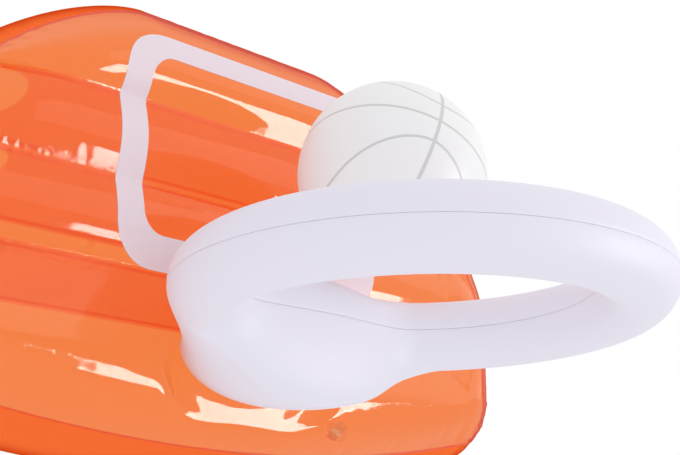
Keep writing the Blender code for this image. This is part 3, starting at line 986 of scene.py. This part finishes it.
    def rim_folds(self, near: np.ndarray, arc: np.ndarray) -> np.ndarray:
        """Small folds that the rim's weld gathers in the film, in metres outwards.

        Args:
            near: nearest rim points.
            arc: way along the film to the weld.

        Returns:
            How far the film stands out.
        """
        side, across = self.fold_side
        foot, up = self.fold_foot
        least, more = self.fold_size
        tight = smoothstep((np.abs(near[..., 0]) - side) / across)
        at_foot = smoothstep((foot - near[..., 1]) / up)
        size = least + more * tight * (0.5 + at_foot)
        fading = np.exp(-arc / self.fold_reach) * smoothstep(arc / self.fold_start)
        return size * ripple(near, self.fold_length, RIM_SEED) * fading

    def seam_folds(self, x: np.ndarray, z: np.ndarray) -> np.ndarray:
        """Small folds across the welded seams, in metres outwards.

        Args:
            x: places across.
            z: heights.

        Returns:
            How far the film stands out.
        """
        folds = np.zeros_like(x)
        beyond = (np.abs(x) - self.seam_length / 2) / self.seam_fold_end
        least, more = self.seam_fold_size
        size = (least + more * smoothstep(beyond + 1.0)) * (1.0 - smoothstep(beyond))
        for number, seam in enumerate(self.seams):
            wave = ripple(x[..., None], self.seam_fold_length, SEAM_SEED + number)
            folds += size * wave * np.exp(-np.abs(z - seam) / self.seam_fold_reach)
        return folds

    def half(self, x: np.ndarray, z: np.ndarray, swell: np.ndarray) -> tuple[np.ndarray, ...]:
        """Distance of a film from the middle plane.

        Args:
            x: places across.
            z: heights.
            swell: how far the film stands out past its seams, between the seam ends.

        Returns:
            The distances, the share of a quarter turn round the rolled edge, and the nearest
            rim points.
        """
        end = smoothstep((np.abs(x) - self.seam_length / 2) / self.side_fade)
        distance, near = self.rim_distance(x, z)
        turn = np.arccos(1.0 - np.minimum(distance / self.edge_roll, 1.0))
        return (self.middle + lerp(swell, self.side_swell, end)) * np.sin(turn), turn, near

    def pressed(self, x: np.ndarray, z: np.ndarray, depth: np.ndarray) -> np.ndarray:
        """Depth of the front film where the pad presses it flat and it leans away under the pad.

        Args:
            x: places across.
            z: heights.
            depth: how far behind its weld plane the free film lies.

        Returns:
            The depths with the pad's seat in them.
        """
        wide = x / self.pad_half_width
        reach = np.sqrt(np.maximum(1.0 - wide**2, 0.0)) * self.pad_half_height
        lean = self.pad_lean * np.maximum(self.pad_height - reach - z, 0.0)
        held = lean + (depth - lean + np.hypot(depth - lean, self.pad_ease)) / 2.0
        below = z < self.pad_height
        tall = (z - self.pad_height) / (self.pad_half_height + self.pad_apron * below)
        return lerp(held, depth, smoothstep((np.hypot(wide, tall) - 1.0) / self.pad_fade))

    def on_film(self, x: np.ndarray, rows: np.ndarray, inset: float, sign: int) -> np.ndarray:
        """Points of a film.

        Args:
            x: places across, one for each point.
            rows: knot below, share of the way up and swell of each point, shape (3, points).
            inset: how far the net is drawn in from the outline.
            sign: -1 on the front side of the board and 1 on its back.

        Returns:
            Positions, shape (points, 3).
        """
        below = rows[0].astype(int)
        index = np.arange(len(x))
        knots = self.knots(x, inset)
        z = lerp(knots[below, index], knots[below + 1, index], rows[1])
        half, turn, near = self.half(x, z, rows[2])
        arc = self.edge_roll * np.abs(turn + sign * self.weld_turn)
        folds = self.rim_folds(near, arc)
        flat_share = np.sin(turn)
        half = half + self.seam_folds(x, z) + folds * flat_share
        out = near - np.stack([x, z], axis=1)
        out /= np.maximum(np.linalg.norm(out, axis=1), 1e-6)[:, None]
        out *= (folds * np.cos(turn))[:, None]
        depth = self.middle + sign * half
        if sign < 0:
            depth = self.pressed(x, z, depth)
        height = np.maximum(z + out[:, 1], 0.0)
        return np.stack([x + out[:, 0], self.front_plane + depth, height], axis=1)

    def net(self, inset: float, sign: int) -> np.ndarray:
        """Net of points of a film, shape (rows, columns, 3).

        Args:
            inset: how far it is drawn in from the outline.
            sign: -1 on the front side of the board and 1 on its back.

        Returns:
            Positions.
        """
        across = self.columns(inset)
        rows = self.rows()
        count = rows.shape[1]
        x = np.tile(across, count)
        points = self.on_film(x, np.repeat(rows, len(across), axis=1), inset, sign)
        return points.reshape(count, len(across), 3)

    def border(self, inset: float, sign: int) -> np.ndarray:
        """The outermost points of such a net, in an array of its shape that is 0 elsewhere.

        Args:
            inset: how far it is drawn in from the outline.
            sign: -1 on the front side of the board and 1 on its back.

        Returns:
            Positions.
        """
        across = self.columns(inset)
        rows = self.rows()
        points = np.zeros((rows.shape[1], len(across), 3))
        edge = np.zeros(points.shape[:2], bool)
        edge[[0, -1]] = True
        edge[:, [0, -1]] = True
        row, column = np.nonzero(edge)
        points[edge] = self.on_film(across[column], rows[:, row], inset, sign)
        return points

    def film_points(self, side: Side) -> np.ndarray:
        """Net of one film: its own side, the way round the rolled edge to the weld, and the lip.

        Args:
            side: front or back film.

        Returns:
            Positions, shape (rows, columns, 3).
        """
        weld = self.weld_inset
        if side is Side.FRONT:
            points = self.net(weld, -1)
            edge = self.border(weld, -1)
        else:
            points = self.net(0.0, 1)
            flatten(points, *valve_seat("board"), reach=0.016, ease=0.018)
            for step in range(1, self.wrap_steps + 1):
                turn = self.weld_turn * step / self.wrap_steps
                inset = self.edge_roll * (1.0 - math.cos(turn))
                edge = self.border(min(inset, weld - GAP), -1)
                points = grown(points, edge)
        inward = self.border(weld, 1) - self.border(0.0, 1)
        inward[..., 1] = 0.0
        inward /= np.maximum(np.linalg.norm(inward, axis=2), 1e-9)[..., None]
        heading = inward * math.cos(self.weld_turn)
        heading[..., 1] = math.sin(self.weld_turn)
        return grown(points, edge + heading * self.lip)

    def film(self, side: Side) -> Object:
        """One of the two outer films.

        Args:
            side: front or back film.

        Returns:
            The closed film.
        """
        points = self.film_points(side)
        inside = points.copy()
        inside[..., 1] = self.middle_plane
        obj = shaped_sheet(f"board_{side.name.lower()}_film", points, inside)
        thicken(obj, FILM)
        if side is Side.BACK:
            pierce(obj, *valve_seat("board"))
        smooth(obj, 50.0)
        return obj

    def web_edge(self, x: np.ndarray, z: np.ndarray | float) -> np.ndarray:
        """Distance from the middle plane to the middle of a web's weld strip, inside a film.

        Args:
            x: places across.
            z: heights.

        Returns:
            The distances.
        """
        z = np.broadcast_to(z, x.shape)
        step = GAP
        half = self.half(x, z, 0.0)[0]
        across = (self.half(x + step, z, 0.0)[0] - half) / step
        up = (self.half(x, z + step, 0.0)[0] - half) / step
        return half + self.seam_folds(x, z) - (1.5 * FILM + GAP) * np.sqrt(1.0 + across**2 + up**2)

    def web(self, number: int) -> Object:
        """Inner film behind one seam, drawn in at its free ends.

        Args:
            number: 0 for the lowest.

        Returns:
            The closed film with its two weld strips.
        """
        seam = self.seams[number]
        turn = np.linspace(-math.pi / 2, math.pi / 2, self.web_rows + 1)
        reach = self.seam_length / 2.0 - 2 * GAP - self.web_hollows[number] * np.cos(turn)
        x = np.linspace(-1.0, 1.0, self.web_columns + 1)[None, :] * reach[:, None]
        span = np.full_like(turn, self.web_strip)
        span[[0, -1]] = 0.0
        y = self.middle_plane + np.sin(turn)[:, None] * (self.web_edge(x, seam) - span[:, None])
        wave = ripple(x[..., None], self.web_wave_length, WEB_SEED + number)
        sheet = np.stack([x, y, seam + self.web_wave * np.cos(turn)[:, None] * wave], axis=2)
        obj = shaped_sheet(f"board_web_film_{number + 1}", sheet, sheet - np.array([0.0, 0.0, 1.0]))
        strips = [obj]
        across, up = np.meshgrid(x[0], seam + self.seam_band * np.linspace(-0.5, 0.5, 5))
        for sign in (-1, 1):
            y = self.middle_plane + sign * self.web_edge(across, up)
            points = np.stack([across, y, up], axis=2)
            strips.append(shaped_sheet("weld_strip", points, points - np.array([0.0, sign, 0.0])))
        for strip in strips:
            thicken(strip, FILM, offset=0.0)
        hold(*strips)
        bpy.ops.object.join()
        smooth(obj, 40.0)
        return obj

    def build(self) -> None:
        """Builds and dresses the two films and the webs."""
        printed = ClearFilm("printed_orange_pvc_film", ink=Target()).make()
        plain = ClearFilm("orange_pvc_film", tint="FDD0AF", sheen=0.02).make()
        inner = ClearFilm("inner_orange_pvc_film", "FFEAE2", "FADBC8", sheen=0.005).make()
        for side, finish in ((Side.FRONT, printed), (Side.BACK, plain)):
            settle(self.film(side), finish, "hoop", f"board_{side.name.lower()}_sheet")
        for number, place in enumerate(("lower", "middle", "upper")):
            settle(self.web(number), inner, "hoop", f"board_web_{place}")


BOARD = AirBoard()


# Ring and pad


@dataclass(frozen=True)
class AirRing:
    """Air ring of two welded films, swollen at the rear into the pad that is welded to the board."""

    centre: tuple[float, float, float] = (0.0, -0.1165, 0.1411)
    radius: float = 0.1944
    tube: float = 0.036
    pad_half_width: float = 0.119
    pad_half_height: float = 0.0645
    pad_height: float = 0.1184
    pad_forward: float = 0.105
    pad_nose: float = 0.029
    pad_tail: float = 0.160
    pad_power: float = 1.92
    blend: float = 0.0335
    rim_gap: float = 0.0010
    lip: float = 0.003
    facet: float = 0.0024
    groove: float = 0.0007
    groove_width: float = 0.0016
    pucker: float = 0.00022
    pucker_length: float = 0.011
    pucker_reach: float = 0.007
    zone_length: float = 0.12
    rim_ease: float = 0.012
    score_lines: tuple[float, float] = (0.0008, 0.0020)
    flat_slope: float = 0.2
    edge_slack: float = 1e-5

    @property
    def plane(self) -> float:
        """Y of the pad's welded rim, just before the board's front."""
        return BOARD.front_plane - self.rim_gap

    def torus(self, p: np.ndarray) -> np.ndarray:
        """Distance from points to the round ring."""
        out = np.hypot(p[..., 0] - self.centre[0], p[..., 1] - self.centre[1])
        return np.hypot(out - self.radius, p[..., 2] - self.centre[2]) - self.tube

    def pillow(self, p: np.ndarray) -> np.ndarray:
        """About the distance from points to the pad's pillow, widest some way before the board.

        Args:
            p: points, shape (..., 3).

        Returns:
            The distances, negative inside.
        """
        past = p[..., 1] - (BOARD.front_plane - self.pad_forward)
        deep = np.where(past < 0.0, past / self.pad_nose, past / self.pad_tail)
        wide = np.abs(p[..., 0]) / self.pad_half_width
        tall = np.abs(p[..., 2] - self.pad_height) / self.pad_half_height
        section = (wide**self.pad_power + tall**self.pad_power) ** (1.0 / self.pad_power)
        return (np.hypot(section, deep) - 1.0) * self.pad_half_height

    def skin(self, p: np.ndarray) -> np.ndarray:
        """Field that is 0 on the ring and the pillow, eased into each other, and negative inside.

        Args:
            p: points, shape (..., 3).

        Returns:
            The field's values.
        """
        a, b = self.torus(p), self.pillow(p)
        near = np.maximum(self.blend - np.abs(a - b), 0.0) / self.blend
        return np.minimum(a, b) - near**2 * self.blend / 4.0

    def slope(self, p: np.ndarray) -> np.ndarray:
        """Gradient of the field at each point.

        Args:
            p: points, shape (..., 3).

        Returns:
            The gradients, same shape.
        """
        step = 1e-5
        shifts = step * np.eye(3)
        parts = [(self.skin(p + shift) - self.skin(p - shift)) / (2 * step) for shift in shifts]
        return np.stack(parts, axis=-1)

    def onto_skin(self, p: np.ndarray) -> np.ndarray:
        """Draws points onto the form, a few steps down the field.

        Args:
            p: points, shape (..., 3).

        Returns:
            The points on the form.
        """
        for _ in range(6):
            slope = self.slope(p)
            size = np.maximum((slope**2).sum(axis=-1, keepdims=True), 1e-6)
            p = p - self.skin(p)[..., None] * slope / size
        return p

    def swollen(self) -> Object:
        """The whole form as one even skin: ring and pillow fused, remeshed and drawn onto the field.

        Returns:
            The form before it is cut into films.
        """
        deselect()
        bpy.ops.mesh.primitive_uv_sphere_add(segments=96, ring_count=48, radius=1.0)
        pillow = named("ring_form_pillow")
        points = read_points(pillow)
        reach = np.hypot(points[:, 0], points[:, 2])
        powers = np.abs(points) ** self.pad_power
        section = (powers[:, 0] + powers[:, 2]) ** (1.0 / self.pad_power)
        share = np.where(section > 1e-9, reach / np.maximum(section, 1e-9), 1.0)
        points[:, 0] *= share * self.pad_half_width
        points[:, 1] *= np.where(points[:, 1] < 0.0, self.pad_nose, self.pad_tail)
        points[:, 2] *= share * self.pad_half_height
        write_points(pillow, points + (0.0, BOARD.front_plane - self.pad_forward, self.pad_height))
        deselect()
        bpy.ops.mesh.primitive_torus_add(
            major_radius=self.radius,
            minor_radius=self.tube,
            major_segments=160,
            minor_segments=40,
            location=self.centre,
        )
        form = named("ring_form")
        bpy.ops.object.transform_apply(location=True)
        hold(form, pillow)
        bpy.ops.object.join()
        work_in(form, "REMESH", mode="VOXEL", voxel_size=self.facet)
        write_points(form, self.onto_skin(read_points(form)))
        return form

    def cut(self, form: Object, place: tuple, normal: tuple, clear: bool = True) -> None:
        """Cuts a form along a plane.

        Args:
            form: the form, left open at the cut.
            place: a point of the plane.
            normal: the plane's normal; the side that it points to goes.
            clear: False to score the form without taking anything off.
        """
        with editing(form):
            bpy.ops.mesh.bisect(plane_co=place, plane_no=normal, use_fill=False, clear_outer=clear)

    def gathered(self, p: np.ndarray) -> np.ndarray:
        """Points of the skin sunk along the weld and slightly puckered beside it.

        Args:
            p: points of the skin.

        Returns:
            The moved points.
        """
        out = np.hypot(p[:, 0] - self.centre[0], p[:, 1] - self.centre[1])
        off = np.abs(p[:, 2] - self.centre[2])
        clear = smoothstep((self.plane - p[:, 1]) / self.rim_ease)
        turn = np.arctan2(p[:, 0], p[:, 1] - self.centre[1])
        arc = np.stack([turn * out, np.zeros_like(out)], axis=1)
        sink = self.groove * np.exp(-((off / self.groove_width) ** 2))
        folds = self.pucker * ripple(arc, self.pucker_length, PUCKER_SEED, waves=9)
        folds *= np.exp(-off / self.pucker_reach)
        folds *= smoothstep(ripple(arc, self.zone_length, ZONE_SEED, waves=4) * 0.6 + 0.5)
        slope = self.slope(p)
        slope /= np.linalg.norm(slope, axis=1)[:, None]
        return p + slope * ((folds - sink) * clear)[:, None]

    def lip_heading(self, p: Vector) -> Vector:
        """Direction in which a film's edge turns in to its weld.

        Args:
            p: a point of the edge.

        Returns:
            The unit direction.
        """
        if p.y > self.plane - self.edge_slack:
            return Vector((-p.x, 0.0, self.pad_height - p.z)).normalized()
        out = Vector((p.x - self.centre[0], p.y - self.centre[1], 0.0))
        if out.length < self.radius:
            return out.normalized()
        slope = Vector(self.slope(np.array(p)))
        slope.z = 0.0
        if slope.length > self.flat_slope:
            return -slope.normalized()
        before_pad = abs(p.x) < self.pad_half_width and p.y > 0.0
        return Vector((0.0, -1.0, 0.0)) if before_pad else -out.normalized()

    def film(self, side: Side) -> Object:
        """Upper or lower film with its lips, wall and, above, the hole for the valve.

        Args:
            side: the upper or the lower film.

        Returns:
            The closed film.
        """
        film = self.swollen()
        film.name = film.data.name = f"ring_{side.name.lower()}_film"
        self.cut(film, (0.0, self.plane, 0.0), (0.0, 1.0, 0.0))
        for step in self.score_lines:
            level = self.centre[2] + side.sign * step
            self.cut(film, (0.0, 0.0, level), (0.0, 0.0, 1.0), clear=False)
        self.cut(film, self.centre, (0.0, 0.0, -side.sign))
        points = read_points(film)
        rim = points[:, 1] > self.plane - 1e-6
        points = self.gathered(points)
        points[rim, 1] = self.plane
        points[:, 2] += side.sign * GAP / 2.0
        if side is Side.UPPER:
            flatten(points, *valve_seat("ring"), reach=0.017, ease=0.020)
        write_points(film, points)
        self.turn_in(film)
        thicken(film, FILM)
        if side is Side.UPPER:
            pierce(film, *valve_seat("ring"))
        smooth(film, 60.0)
        return film

    def turn_in(self, film: Object) -> None:
        """Draws a film's open edges inwards by the width of the weld.

        Args:
            film: the open film.
        """
        with editing(film):
            bpy.ops.mesh.select_mode(type="VERT")
            bpy.ops.mesh.remove_doubles(threshold=2e-5)
            bpy.ops.mesh.select_all(action="DESELECT")
            select_open_edges()
            bpy.ops.mesh.extrude_region_move()
            edit = bmesh.from_edit_mesh(film.data)
            for vert in [v for v in edit.verts if v.select]:
                vert.co += self.lip_heading(vert.co) * self.lip
            bmesh.update_edit_mesh(film.data)
            turn_outwards()

    def patch(self) -> Object:
        """Closed film disc that shuts the pad and is welded to the board.

        Returns:
            The disc.
        """
        size = math.sqrt(1.0 - (self.pad_forward / self.pad_tail) ** 2)
        deselect()
        bpy.ops.mesh.primitive_circle_add(vertices=128, radius=1.0, fill_type="NGON")
        obj = named("ring_pad_disc")
        circle = read_points(obj)
        turn = np.arctan2(circle[:, 1], circle[:, 0])
        power = 2.0 / self.pad_power
        across, up = [np.sign(c) * np.abs(c) ** power * size for c in (np.cos(turn), np.sin(turn))]
        depth = np.full_like(across, BOARD.front_plane - GAP - FILM)
        up = up * self.pad_half_height + self.pad_height
        write_points(obj, np.stack([across * self.pad_half_width, depth, up], axis=1))
        with editing(obj):
            bpy.ops.mesh.extrude_region_move(TRANSFORM_OT_translate={"value": (0.0, FILM, 0.0)})
            turn_outwards()
        return obj

    def build(self) -> None:
        """Builds and dresses the two films and the pad's disc."""
        white = WhiteVinyl().make()
        for side in (Side.UPPER, Side.LOWER):
            settle(self.film(side), white, "hoop", f"ring_{side.name.lower()}_sheet")
        settle(self.patch(), white, "hoop", "ring_pad_patch")


RING = AirRing()


# Air valves


def joint_of(name: str) -> dict:
    """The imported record's joint of a name."""
    return next(joint for joint in frame["joints"] if joint["name"] == name)


def valve_frame(prefix: str) -> Matrix:
    """Place of a valve, with +Z out of the film and +X away from the stopper's hinge.

    Args:
        prefix: board or ring.

    Returns:
        The matrix that takes a valve from the origin to its film.
    """
    out = -Vector(joint_of(f"{prefix}_stem_push")["axis"]).normalized()
    swing = joint_of(f"{prefix}_stopper_swing")
    up = -Vector(swing["axis"]).normalized()
    side = up.cross(out).normalized()
    up = out.cross(side)
    place = Vector(swing["pos_m"]) + side * AirValve.hinge - out * AirValve.rise
    turn = Matrix((side, up, out)).transposed().to_4x4()
    return Matrix.Translation(place) @ turn


def valve_seat(prefix: str) -> tuple[Vector, Vector]:
    """Place and outward direction of a valve."""
    placed = valve_frame(prefix)
    return placed.translation, placed.col[2].to_3d()


def flatten(points: np.ndarray, place: Vector, axis: Vector, reach: float, ease: float) -> None:
    """Draws a film's points flat round a valve.

    Args:
        points: positions, changed in place, shape (..., 3).
        place: the valve's place.
        axis: its outward direction.
        reach: radius that lies quite flat.
        ease: width over which the film eases back to its round.
    """
    offset = points - np.array(place)
    rise = offset @ np.array(axis)
    off = np.sqrt(np.maximum((offset**2).sum(axis=-1) - rise**2, 0.0))
    flat = (1.0 - smoothstep((off - reach) / ease)) * (np.abs(rise) < SAME_FILM)
    points -= (rise * flat)[..., None] * np.array(axis)


def pierce(film: Object, place: Vector, axis: Vector) -> None:
    """Cuts the round hole for a valve's stem through a film.

    Args:
        film: the film.
        place: the valve's place.
        axis: its outward direction.
    """
    deselect()
    bpy.ops.mesh.primitive_cylinder_add(vertices=FACETS, radius=AirValve.collar_bore, depth=0.008)
    cutter = named("stem_hole_cutter")
    put(cutter, seat_matrix(place, axis))
    combine(film, cutter, "DIFFERENCE")


@dataclass(frozen=True)
class AirValve:
    """Push-in air valve: flange with collar, stem, strapped stopper and non-return flap."""

    prefix: str
    bore: float = 0.0042
    stem: float = 0.0060
    rise: float = 0.009
    inset: float = 0.005
    rim: float = 0.0071
    rim_height: float = 0.0012
    flange: float = 0.015
    flange_thickness: float = 0.0010
    collar_bore: float = 0.0064
    collar: float = 0.0084
    collar_depth: float = 0.014
    fillet: float = 0.0012
    bead: float = 0.00025
    bead_heights: tuple[float, ...] = (0.0030, 0.0024, 0.0018, 0.0012)
    cap: float = 0.0062
    cap_height: float = 0.0016
    pin_length: float = 0.0045
    pin_taper: float = 0.0006
    hinge: float = 0.0098
    strap_width: float = 0.0042
    strap_height: float = 0.0009
    flap: float = 0.0052
    flap_thickness: float = 0.0005

    def make_flange(self) -> Object:
        """Flange with its collar, under the film.

        Returns:
            The flange, at the origin.
        """
        under = -FILM - GAP
        foot = under - self.flange_thickness
        profile = [
            (self.collar_bore, under),
            (self.flange, under),
            (self.flange, foot),
            (self.collar + self.fillet, foot),
            (self.collar, foot - self.fillet),
            (self.collar, -self.collar_depth),
            (self.collar_bore, -self.collar_depth),
        ]
        return lathe(f"{self.prefix}_valve_seat", profile, 0.00025)

    def make_stem(self) -> Object:
        """Stem with its rim and a shallow hold-in bead.

        Returns:
            The stem, at the origin.
        """
        under_rim = self.rise - self.rim_height
        bead = [self.stem + out for out in (0.0, self.bead, self.bead, 0.0)]
        profile = [
            (self.bore, self.rise),
            (self.rim, self.rise),
            (self.rim, under_rim),
            (self.stem, under_rim),
            *zip(bead, self.bead_heights),
            (self.stem, -self.inset),
            (self.bore, -self.inset),
        ]
        return lathe(f"{self.prefix}_valve_tube", profile, 0.0002)

    def make_stopper(self) -> Object:
        """Stopper cap with its tapered pin and its strap.

        Returns:
            The stopper, at the origin.
        """
        pin = self.bore - GAP
        top = self.rise + GAP + self.cap_height
        profile = [
            (0.0, top),
            (self.cap - 0.0012, top),
            (self.cap - 0.0018, top - 0.0004),
            (self.cap - 0.0008, top),
            (self.cap, top - 0.0005),
            (self.cap, self.rise + GAP),
            (pin, self.rise + GAP),
            (pin - self.pin_taper, self.rise - self.pin_length),
            (0.0, self.rise - self.pin_length),
        ]
        obj = lathe(f"{self.prefix}_valve_cap", profile, 0.00015)
        length = self.hinge - self.cap + self.strap_width / 2.0
        middle = self.rise + 2 * GAP + self.strap_height / 2.0
        deselect()
        bpy.ops.mesh.primitive_cube_add(size=1.0, location=(-self.hinge + length / 2.0, 0.0, middle))
        strap = named("stopper_strap")
        strap.scale = (length, self.strap_width, self.strap_height)
        bpy.ops.object.transform_apply(location=True, scale=True)
        soften(strap, 0.0002)
        combine(obj, strap, "UNION")
        return obj

    def make_flap(self) -> Object:
        """Thin non-return flap under the stem.

        Returns:
            The flap, at the origin.
        """
        top = -self.inset - GAP
        foot = top - self.flap_thickness
        profile = [(0.0, top), (self.flap, top), (self.flap, foot), (0.0, foot)]
        return lathe(f"{self.prefix}_valve_leaf", profile, 0.00012)

    def build(self, material: bpy.types.Material) -> None:
        """Builds the four pieces, puts them in the film and dresses them.

        Args:
            material: the valves' finish.
        """
        placed = valve_frame(self.prefix)
        pieces = (
            (self.make_flange(), "hoop", "flange"),
            (self.make_stem(), f"{self.prefix}_stem", "stem"),
            (self.make_stopper(), f"{self.prefix}_stopper", "stopper"),
            (self.make_flap(), f"{self.prefix}_flap", "flap"),
        )
        for obj, body, node in pieces:
            put(obj, placed)
            smooth(obj, 35.0)
            settle(obj, material, body, f"{self.prefix}_valve_{node}")


# Ball


@dataclass(frozen=True)
class PlayBall:
    """Hollow moulded ball with its valve plug at the back of the flight."""

    centre: tuple[float, float, float] = (0.038, -0.0435, 0.2811)
    radius: float = 0.0955
    wall: float = 0.0015
    hole: float = 0.0039
    plug: float = 0.0035
    plug_flange: float = 0.0065
    plug_flange_thickness: float = 0.0012
    plug_sink: float = 0.0005
    plug_gap: float = 0.0007
    plug_axis: tuple[float, float, float] = (-0.5, 0.62, 0.60)
    segments: int = 128
    rings: int = 72

    def make_skin(self) -> Object:
        """The closed hollow skin with its hole.

        Returns:
            The skin, at the origin.
        """
        deselect()
        facets = {"segments": self.segments, "ring_count": self.rings}
        bpy.ops.mesh.primitive_uv_sphere_add(radius=self.radius, **facets)
        obj = named("ball_shell")
        height = math.sqrt(self.radius**2 - self.hole**2)
        with editing(obj, "DESELECT"):
            bpy.ops.mesh.select_mode(type="VERT")
            edit = bmesh.from_edit_mesh(obj.data)
            pole = max(edit.verts, key=lambda v: v.co.z)
            for vert in [edge.other_vert(pole) for edge in pole.link_edges]:
                share = self.hole / math.hypot(vert.co.x, vert.co.y)
                vert.co = Vector((vert.co.x * share, vert.co.y * share, height))
            pole.select_set(True)
            bmesh.update_edit_mesh(obj.data)
            bpy.ops.mesh.delete(type="VERT")
        thicken(obj, self.wall)
        smooth(obj, 50.0)
        return obj

    def make_plug(self) -> Object:
        """The plug in the hole, its head just under the surface.

        Returns:
            The plug, at the origin.
        """
        crown = self.radius - self.plug_sink
        shoulder = self.radius - self.wall - self.plug_gap
        foot = shoulder - self.plug_flange_thickness
        profile = [
            (0.0, crown - 0.0006),
            (0.0010, crown - 0.0006),
            (0.0013, crown),
            (self.plug, crown),
            (self.plug, shoulder),
            (self.plug_flange, shoulder),
            (self.plug_flange, foot),
            (0.0, foot),
        ]
        obj = lathe("ball_plug", profile, 0.0002)
        smooth(obj, 35.0)
        return obj

    def build(self) -> None:
        """Builds, places and dresses the skin and its plug."""
        placed = seat_matrix(Vector(self.centre), Vector(self.plug_axis).normalized())
        material = BallVinyl().make()
        for obj, node in ((self.make_skin(), "ball_skin"), (self.make_plug(), "ball_valve")):
            put(obj, placed)
            settle(obj, material, "ball", node)


BALL = PlayBall()


# Studio


@dataclass(frozen=True)
class SoftLamp:
    """One area light, given by the direction it stands in, its distance and its size."""

    name: str
    toward: tuple[float, float, float]
    distance: float
    width: float
    height: float
    power: float
    colour: str = "FFFFFF"
    lights_matt: bool = True

    def hang(self, target: Vector) -> None:
        """Hangs the lamp so that it faces the target.

        Args:
            target: the point that it lights.
        """
        lamp = bpy.data.lights.new(self.name, "AREA")
        lamp.shape = "RECTANGLE"
        lamp.size = self.width
        lamp.size_y = self.height
        lamp.energy = self.power
        lamp.color = linear(self.colour)[:3]
        obj = bpy.data.objects.new(self.name, lamp)
        bpy.context.scene.collection.objects.link(obj)
        heading = Vector(self.toward).normalized()
        obj.location = target + heading * self.distance
        obj.rotation_euler = heading.to_track_quat("Z", "Y").to_euler()
        obj.visible_camera = False
        obj.visible_diffuse = self.lights_matt


@dataclass(frozen=True)
class Studio:
    """White studio: a pale floor, soft lamps and the camera at the photograph's angle."""

    camera: tuple[float, float, float] = (-0.7840, -0.8653, -0.1408)
    yaw: float = 0.7400
    pitch: float = 0.3070
    roll: float = -0.0050
    focal_px: float = 1225.7
    sensor: float = 36.0
    target: tuple[float, float, float] = (0.0, 0.0, 0.206)
    ambient: float = 0.90
    ambient_colour: str = "F9F8FC"
    floor_size: float = 8.0
    # Direction, distance, width and height in metres, power in watts. The window only glints.
    lamps: tuple[SoftLamp, ...] = (
        SoftLamp("key", (0.55, -0.80, 0.55), 2.2, 1.2, 1.2, 4.0, "FFFDFA"),
        SoftLamp("bounce", (-0.10, -0.62, -0.75), 2.4, 2.4, 2.4, 3.0),
        SoftLamp("side", (0.95, -0.35, 0.30), 2.2, 1.2, 1.2, 4.0),
        SoftLamp("window", (0.594, -0.774, -0.216), 2.0, 0.95, 1.10, 78.0, lights_matt=False),
    )

    def place_camera(self) -> None:
        """Places the camera as the photograph was taken."""
        sin_yaw, cos_yaw = math.sin(self.yaw), math.cos(self.yaw)
        level = math.cos(self.pitch)
        ahead = Vector((sin_yaw * level, cos_yaw * level, math.sin(self.pitch)))
        right = Vector((cos_yaw, -sin_yaw, 0.0))
        up = right.cross(ahead)
        turned = right * math.cos(self.roll) + up * math.sin(self.roll)
        upright = up * math.cos(self.roll) - right * math.sin(self.roll)
        lens = bpy.data.cameras.new("photo_camera")
        lens.lens = self.focal_px * self.sensor / PHOTO_WIDTH
        lens.sensor_width = self.sensor
        lens.clip_start = 0.01
        lens.clip_end = 50.0
        camera = bpy.data.objects.new("photo_camera", lens)
        bpy.context.scene.collection.objects.link(camera)
        turn = Matrix((turned, upright, -ahead)).transposed().to_4x4()
        camera.matrix_world = Matrix.Translation(self.camera) @ turn
        bpy.context.scene.camera = camera

    def lay_floor(self) -> None:
        """Lays the floor, which is seen from above only, so that the low camera looks past it."""
        deselect()
        bpy.ops.mesh.primitive_plane_add(size=self.floor_size)
        floor = named("studio_floor")
        floor.data.materials.append(MattPaper().make())
        floor.visible_glossy = floor.visible_diffuse = floor.visible_shadow = False

    def light_world(self) -> None:
        """White background for what the camera sees, soft lilac-grey light for the rest."""
        world = bpy.data.worlds.new("studio")
        bpy.context.scene.world = world
        world.use_nodes = True
        tree = world.node_tree
        tree.nodes.clear()
        path = add_node(tree, "LightPath")
        seen = path.outputs["Is Camera Ray"]
        for kind in ("Is Glossy Ray", "Is Transmission Ray"):
            seen = ("MAXIMUM", seen, path.outputs[kind])
        lilac = linear(self.ambient_colour)
        soft = add_node(tree, "Background", {"Color": lilac, "Strength": self.ambient})
        white = add_node(tree, "Background", {"Color": linear("FFFFFF"), "Strength": 1.0})
        mix = add_node(tree, "MixShader", {0: seen, 1: soft, 2: white})
        add_node(tree, "OutputWorld", {"Surface": mix})

    def build(self) -> None:
        """Sets the studio up."""
        scene = bpy.context.scene
        scene.view_settings.view_transform = "Standard"
        scene.cycles.transparent_max_bounces = 32
        self.place_camera()
        self.lay_floor()
        self.light_world()
        for lamp in self.lamps:
            lamp.hang(Vector(self.target))


def main() -> None:
    """Builds the object and its studio."""
    BOARD.build()
    RING.build()
    valve_plastic = MouldedValve().make()
    for prefix in ("board", "ring"):
        AirValve(prefix).build(valve_plastic)
    BALL.build()
    Studio().build()
    deselect()


if __name__ == "__main__":
    logging.basicConfig(level=logging.INFO, format="%(name)s: %(message)s")
    main()
